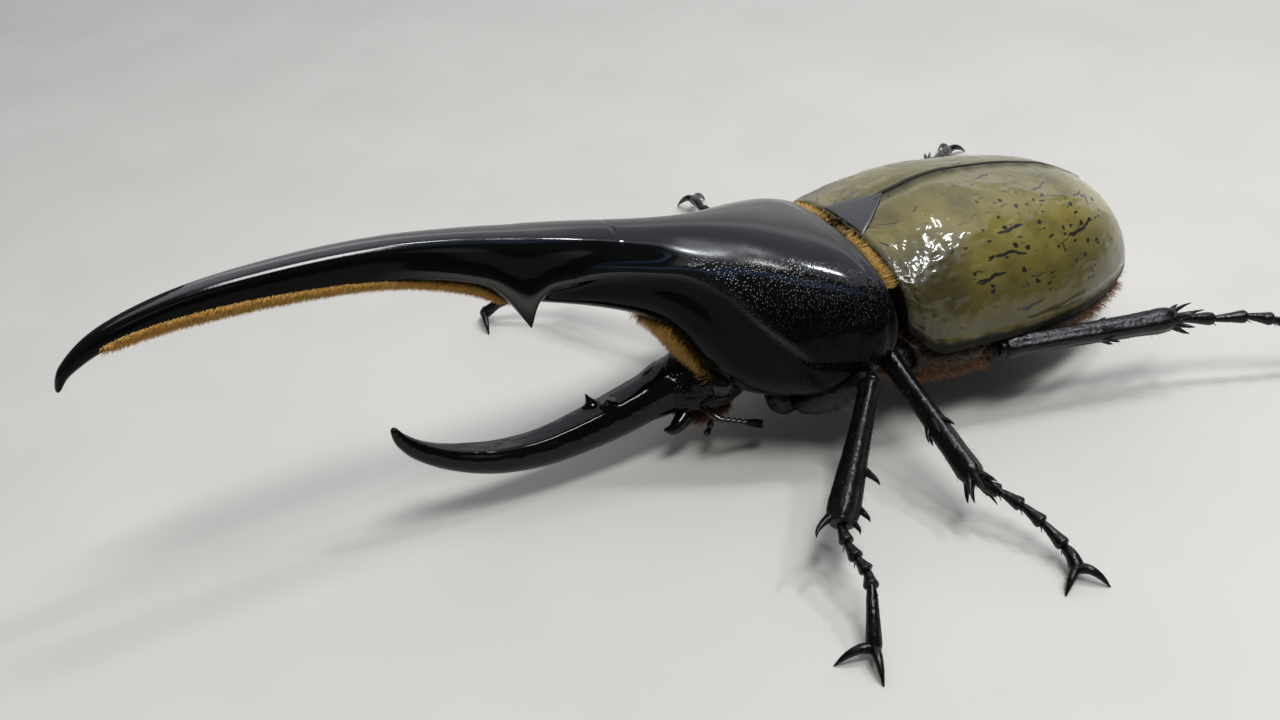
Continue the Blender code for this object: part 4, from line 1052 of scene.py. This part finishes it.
# %% Feelers, jaws and mouth feelers
for side, word in SIDES:
    base = np.array((24.0, side * 5.2, 4.3))
    elbow = np.array((22.7, side * 8.3, 3.8))
    stem = [base, base + (-0.2, side * 1.2, 0.1), base + (-0.7, side * 2.3, 0.0), elbow]
    parts = [limb("stem", stem, (0.34, 0.36, 0.5, 0.6), 26, 21)]
    step = np.array((-0.85, side * 0.06, -0.42))
    for k in range(5):
        start = elbow + step * (k - 0.1)
        bead = [start + step * s for s in (0, 0.35, 0.75, 1.05)]
        parts.append(limb("bead", bead, (0.2, 0.38, 0.54, 0.3), 14, 17))
    club_root = elbow + step * 5
    club_way = unit((-0.85, side * 0.12, -0.3))
    for k in (-1, 0, 1):
        root = club_root - club_way * 0.4 + (0, 0, 0.2 * k)
        tip = club_root + club_way * 2.5 + (0, 0, 0.5 * k)
        path = between(root, tip, 0, 0.3, 0.75, 1.0)
        parts.append(limb("leaf", path, (0.3, 0.55, 0.7, 0.35), 22, 21, flat=0.3))
    finished(joined("feeler_" + word, parts), ["antenna_" + word], DARK_MOUTH)
    root = np.array((25.8, side * 2.9, 2.2))
    jaw = root + ((0, 0, 0), (1.3, side * 0.6, -0.6), (2.5, side * 0.8, -0.95), (3.6, side * 0.45, -0.8))
    jaw_piece = limb("jaw_" + word, jaw, (1.3, 1.15, 0.85, 0.2), 30, 25)
    finished(jaw_piece, ["mandible_" + word], HORN_BLACK)
    root = np.array((22.0, side * 3.8, 2.6))
    knots = root + ((0, 0, 0), (0.3, side * 0.8, -1.4), (1.0, side * 1.5, -2.2), (2.0, side * 2.1, -2.8))
    parts = [limb("palp", between(start, end, -0.05, 0.3, 0.7, 1.0), (0.3, 0.42, 0.55, 0.3), 18, 17)
             for start, end in zip(knots, knots[1:])]
    finished(joined("palp_skin_" + word, parts), ["palp_" + word], DARK_MOUTH)

# %% [markdown]
# The golden velvet is what makes this beetle more than black and olive: short pile under the
# horn, a brush between horn and head, a fringe between the shield and the wing cases, and
# longer orange-brown hair on the breast. Each hair is a thin three-sided cone in two lengths,
# bent a little, and thousands of them are written into one mesh from arrays. Every hair keeps
# a small patch of the map at its root's place, where its colour can be baked.

# %% Hair from arrays
DROOP = 0.25
HAIR_POINTS = 7
HAIR_FACES = ((0, 1, 4, 3), (1, 2, 5, 4), (2, 0, 3, 5), (3, 4, 6), (4, 5, 6), (5, 3, 6), (2, 1, 0))
# Where a hair's points lie in its own small patch of the map, and the patch's size
HAIR_MAP = np.array(((0, 0), (1, 0), (0.5, 0.2), (0, 0.5), (1, 0.5), (0.5, 0.6), (0.5, 1.0)))
PATCH = 0.003


def coat(name, roots, ways, lengths, widths, root_map, seed, material):
    """One mesh of bent, tapered hairs, from arrays with one row for each hair."""
    draw = np.random.default_rng(seed)
    count = len(roots)
    ways = ways / np.linalg.norm(ways, axis=1, keepdims=True)
    helper = draw.normal(size=(count, 3))
    across = np.cross(ways, helper)
    across /= np.linalg.norm(across, axis=1, keepdims=True)
    above = np.cross(ways, across)
    lengths, widths = lengths[:, None], widths[:, None]
    bend = (across * draw.uniform(-1, 1, (count, 1)) + above * draw.uniform(-1, 1, (count, 1))) * DROOP
    middle = roots + (ways * 0.55 + bend * 0.15) * lengths
    tips = roots + (ways + bend * 0.6) * lengths
    points = np.empty((count, HAIR_POINTS, 3))
    for k in range(3):
        turn = 2 * math.pi * k / 3
        out = across * math.cos(turn) + above * math.sin(turn)
        points[:, k] = roots + out * widths / 2
        points[:, 3 + k] = middle + out * widths * 0.38
    points[:, 6] = tips
    base = np.arange(count)[:, None] * HAIR_POINTS
    loops = np.concatenate([base + np.array(face) for face in HAIR_FACES], axis=1)
    sizes = np.array([len(face) for face in HAIR_FACES])
    mesh = bpy.data.meshes.new(name)
    mesh.vertices.add(count * HAIR_POINTS)
    mesh.vertices.foreach_set("co", model_place(points.reshape(-1, 3)).ravel())
    mesh.loops.add(loops.size)
    mesh.loops.foreach_set("vertex_index", loops.ravel().astype(np.int32))
    mesh.polygons.add(count * len(HAIR_FACES))
    loop_starts = np.arange(count)[:, None] * sizes.sum() + np.cumsum(sizes) - sizes
    mesh.polygons.foreach_set("loop_start", loop_starts.ravel().astype(np.int32))
    mesh.update(calc_edges=True)
    patch = HAIR_MAP * PATCH - PATCH / 2
    spots = (np.clip(root_map, 0.002, 0.998)[:, None] + patch[None]).reshape(-1, 2)
    layer = mesh.uv_layers.new(name="OFBake")
    layer.data.foreach_set("uv", spots[loops.ravel()].ravel())
    hair = bpy.data.objects.new(name, mesh)
    bpy.context.scene.collection.objects.link(hair)
    paint(hair, tone=np.repeat(np.clip(draw.normal(0.5, 0.22, count), 0, 1), HAIR_POINTS))
    only(hair)
    bpy.ops.object.shade_smooth()
    finished(hair, [], material)


def scattered(points, normals, chance, count, seed):
    """Random places on a table of points, in proportion to its area and a chance map."""
    draw = np.random.default_rng(seed)
    a, b, c = points[:-1, :-1], points[1:, :-1], points[:-1, 1:]
    area = np.linalg.norm(np.cross(b - a, c - a), axis=2) * chance[:-1, :-1]
    odds = area.ravel() / area.sum()
    chosen = draw.choice(len(odds), count, p=odds)
    i, j = np.unravel_index(chosen, area.shape)
    u, v = draw.uniform(0, 1, (2, count, 1))
    roots = a[i, j] + (b[i, j] - a[i, j]) * u + (c[i, j] - a[i, j]) * v
    rows, columns = points.shape[:2]
    root_map = np.stack([(i + u[:, 0]) / rows, (j + v[:, 0]) / columns], axis=1)
    return roots, normals[i, j], root_map


# %% Velvet under the horn
SUNK = 0.05
VELVET_HAIRS = 19500
whole_normals = grid_normals(whole)
for (side, word), seed in zip(SIDES, (101, 111)):
    half = np.where(whole[..., 1] * side >= 0, pile, 0.0)
    draw = np.random.default_rng(seed)
    roots, normals, root_map = scattered(whole, whole_normals, half, VELVET_HAIRS, seed + 1)
    ways = normals * 0.75 + np.array((0.5, 0, -0.3)) + draw.normal(0, 0.16, roots.shape)
    lengths = 0.4 + 0.7 * draw.uniform(0, 1, len(roots)) ** 2
    widths = draw.uniform(0.045, 0.075, len(roots))
    coat("horn_velvet_" + word, roots - normals * SUNK, ways, lengths, widths, root_map, seed + 2,
         GOLDEN_HAIR)

# %% Hair on meshes
def roots_on(pieces, count, seed, chance):
    """Random places on finished pieces; chance takes places and normals in millimetres."""
    draw = np.random.default_rng(seed)
    corners = []
    for piece in pieces:
        mesh = piece.data
        mesh.calc_loop_triangles()
        places = np.empty(len(mesh.vertices) * 3)
        mesh.vertices.foreach_get("co", places)
        places = places.reshape(-1, 3) / MM + MIDDLE
        index = np.empty(len(mesh.loop_triangles) * 3, np.int32)
        mesh.loop_triangles.foreach_get("vertices", index)
        corners.append(places[index.reshape(-1, 3)])
    corners = np.concatenate(corners)
    cross = np.cross(corners[:, 1] - corners[:, 0], corners[:, 2] - corners[:, 0])
    area = np.linalg.norm(cross, axis=1)
    normals = cross / np.maximum(area, 1e-12)[:, None]
    odds = area * chance(corners.mean(axis=1), normals)
    chosen = draw.choice(len(odds), count, p=odds / odds.sum())
    u, v = draw.uniform(0, 1, (2, count, 1))
    u, v = np.where(u + v > 1, 1 - u, u), np.where(u + v > 1, 1 - v, v)
    a, b, c = (corners[chosen, k] for k in range(3))
    roots = a + (b - a) * u + (c - a) * v
    low, high = roots.min(axis=0), roots.max(axis=0)
    middle = (low + high) / 2
    turn = np.arctan2(roots[:, 2] - middle[2], roots[:, 1] - middle[1]) / (2 * math.pi) + 0.5
    root_map = np.stack([(roots[:, 0] - low[0]) / (high[0] - low[0]), turn], axis=1)
    return roots, normals[chosen], root_map


# %% Fringe between the shield and the wing cases
draw = np.random.default_rng(201)
count = 2600
# Angles round the ring, in degrees from the side: most hairs gather in 70 clumps
clumps = draw.choice(draw.normal(54, 12, 70), count) + draw.normal(0, 0.7, count)
clumps = np.where(draw.uniform(0, 1, count) < 0.75, clumps, draw.normal(58, 14, count))
clumps = np.where(clumps < 32, draw.uniform(36, 70, count), clumps)
turn = np.radians(np.where(draw.uniform(0, 1, count) < 0.5, clumps, 180 - clumps))
ring_y = 17.3 * signed_power(np.cos(turn), 0.95)
ring_z = 17.0 + np.where(np.sin(turn) > 0, 7.0, 10.0) * np.sin(turn)
roots = np.stack([draw.uniform(-2.0, -0.7, count), ring_y, ring_z], axis=1)
outward = np.stack([np.zeros(count), np.cos(turn), np.sin(turn)], axis=1)
ways = outward * 0.5 + np.array((-0.9, 0, 0)) + draw.normal(0, 0.34, roots.shape)
root_map = np.stack([(roots[:, 0] + 2.2) / 1.6, turn / (2 * math.pi) + 0.2], axis=1)
lengths, widths = draw.uniform(0.4, 1.5, count), draw.uniform(0.04, 0.065, count)
coat("collar_fringe", roots, ways, lengths, widths, root_map, 202, COLLAR_HAIR)

# %% [markdown]
# The other hair grows where a chance map allows it: at the throat, on the crown of the head,
# on the sides of breast and belly, on thighs and shins, and round the mouth. Each brush stands
# up from the skin by its own share, leans its own way and scatters a little.

# %% Where hair grows
def throat(places, normals):
    x, y, z = places.T
    return (ease(x, 20.5, 24) * (1 - ease(z, 18.5, 21.5)) * (1 - ease(np.abs(y), 3.4, 6.0))
            * (1 - ease(normals[:, 2], -0.2, 0.2)))


def crown(places, normals):
    x = places[:, 0]
    return ease(x, 15, 18) * (1 - ease(x, 21.5, 24.5)) * ease(normals[:, 2], 0.1, 0.6)


def flanks(places, normals):
    return (0.15 + ease(np.abs(normals[:, 1]), 0.25, 0.7)) * ease(places[:, 0], -50, -44)


def everywhere(places, normals):
    return np.ones(len(places))


def outwards(roots):
    """Away from the body and a little down."""
    return 0.8 * np.stack([np.zeros(len(roots)), np.sign(roots[:, 1]), np.full(len(roots), -0.4)], axis=1)


# %% Brushes of the throat, crown, breast, legs and mouth
LIMBS = [part + "_" + name + "_shell" for name in LEGS for part in ("femur", "tibia")]
# Name, skins, hairs and seed; where, how upright, lean and scatter; lengths, widths, hair, slot
BRUSHES = (
    ("throat_brush", ["pronotum_shell"], 5200, 211, throat, 0.8, (0.35, 0, -0.5), 0.3,
     (0.9, 2.0), (0.045, 0.07), GOLDEN_HAIR, "black_shell"),
    ("crown_brush", ["head_shell"], 4500, 221, crown, 1.0, (0.3, 0, 0.2), 0.3,
     (0.6, 1.2), (0.05, 0.08), GOLDEN_HAIR, "black_shell"),
    ("breast_coat", ["breast_plate", "abdomen_plates"], 15000, 231, flanks, 0.7, (-0.6, 0, -0.25), 0.25,
     (0.8, 2.0), (0.05, 0.09), BROWN_HAIR, "dark_skin"),
    ("leg_setae", LIMBS, 1300, 241, everywhere, 0.6, outwards, 0.2,
     (0.5, 1.3), (0.03, 0.05), LEG_HAIR, "leg_shell"),
    ("mouth_brush", ["chin_plate"], 2200, 251, everywhere, 0.7, (0.6, 0, -0.2), 0.25,
     (0.7, 1.5), (0.05, 0.08), BROWN_HAIR, "mouth"),
)
for name, skins, count, seed, chance, stand, lean, scatter, long, wide, hair, slot in BRUSHES:
    roots, normals, root_map = roots_on([PIECES[skin] for skin in skins], count, seed, chance)
    draw = np.random.default_rng(seed + 1)
    lean = lean(roots) if callable(lean) else np.array(lean)
    ways = normals * stand + lean + draw.normal(0, scatter, roots.shape)
    lengths = draw.uniform(*long, count)
    if name == "leg_setae":
        # Hairs that would reach the floor are kept short
        near_floor = roots[:, 2] + ways[:, 2] * lengths < CLAW_Z + 0.3
        lengths = np.where(near_floor, 0.3, lengths)
    widths = draw.uniform(*wide, count)
    coat(name, roots - normals * SUNK, ways, lengths, widths, root_map, seed + 2, hair)

# %% [markdown]
# The camera stands where the photo was taken from: its place and direction were fitted to the
# outline of the horns, shell and feet.

# %% Camera
camera_data = bpy.data.cameras.new("photo_view")
camera_data.lens = 33.539
camera_data.sensor_width = 36.0
camera_data.clip_start = 0.01
camera = bpy.data.objects.new("photo_view", camera_data)
bpy.context.scene.collection.objects.link(camera)
right = Vector((-0.90308643, 0.41923643, -0.09314352))
up = Vector((-0.3032542, -0.46894546, 0.82953424))
back = Vector((0.30409174, 0.77738728, 0.55063349))
turned = Matrix((right, up, back)).transposed().to_4x4()
camera.matrix_world = Matrix.Translation(model_place((82.347, 132.266, 105.929))) @ turned
bpy.context.scene.camera = camera

# %% [markdown]
# A glossy black thing is mostly what it mirrors, so each light is a panel placed where a part
# of the shell mirrors it to the camera. A broad sky panel greys the back and lights the floor,
# a wall panel fills the far side, a strip draws the bright line along the horn's edge, two small
# windows make the spot on the shield and the patch on the wing case, and a weak blue strip
# shows in the dark side. The floor is a plain pale sweep, wide enough to fill the picture.

# %% Floor and backdrop
bpy.ops.mesh.primitive_plane_add(size=6.0, location=(0, 0, 0))
floor = bpy.context.object
floor.name = "studio_floor"
floor_paper, _ = clouded("pale_paper", 30.0, 2.0, (0.3, "#bab7b0"), (0.7, "#bfbcb5"), Roughness=0.85)
floor.data.materials.append(floor_paper)

world = bpy.data.worlds.new("soft_room")
world.use_nodes = True
background = world.node_tree.nodes["Background"].inputs
background["Color"].default_value = colour("#e8ecf2")
background["Strength"].default_value = 0.1
bpy.context.scene.world = world

# %% Lights
# Name, place, aim and size in metres, power in watts, tint
for name, place, aim, size, power, tint in (
    ("sky_panel", (-0.3, -0.4, 0.95), (-0.05, 0, 0.02), (2.0, 1.6), 8.8, "#f1f4ff"),
    ("wall_panel", (-0.7, -0.95, 0.35), (0, 0, 0.05), (2.2, 0.8), 3.8, "#ffffff"),
    ("edge_strip", (-0.01, 0.21, 0.5), (0.05, 0, 0.04), (0.24, 0.1), 1.9, "#ffffff"),
    ("window_panel", (-0.285, 0.124, 0.5), (-0.02, 0, 0.02), (0.035, 0.04), 0.6, "#f4f8ff"),
    ("second_window", (-0.15, 0.035, 0.5), (-0.02, 0, 0.02), (0.08, 0.06), 0.7, "#f4f8ff"),
    ("blue_edge", (-0.11, 0.45, 0.56), (0, 0, 0.02), (0.5, 0.08), 0.15, "#7fb2e6"),
):
    light = bpy.data.lights.new(name, "AREA")
    light.shape = "RECTANGLE"
    light.size, light.size_y = size
    light.energy = power
    light.color = colour(tint)[:3]
    lamp = bpy.data.objects.new(name, light)
    bpy.context.scene.collection.objects.link(lamp)
    lamp.location = place
    lamp.rotation_euler = (Vector(aim) - Vector(place)).to_track_quat("-Z", "Y").to_euler()
bpy.context.scene.view_settings.view_transform = "Standard"

# %% Finish
print("triangles", sum(sum(len(p.vertices) - 2 for p in piece.data.polygons) for piece in PIECES.values()))
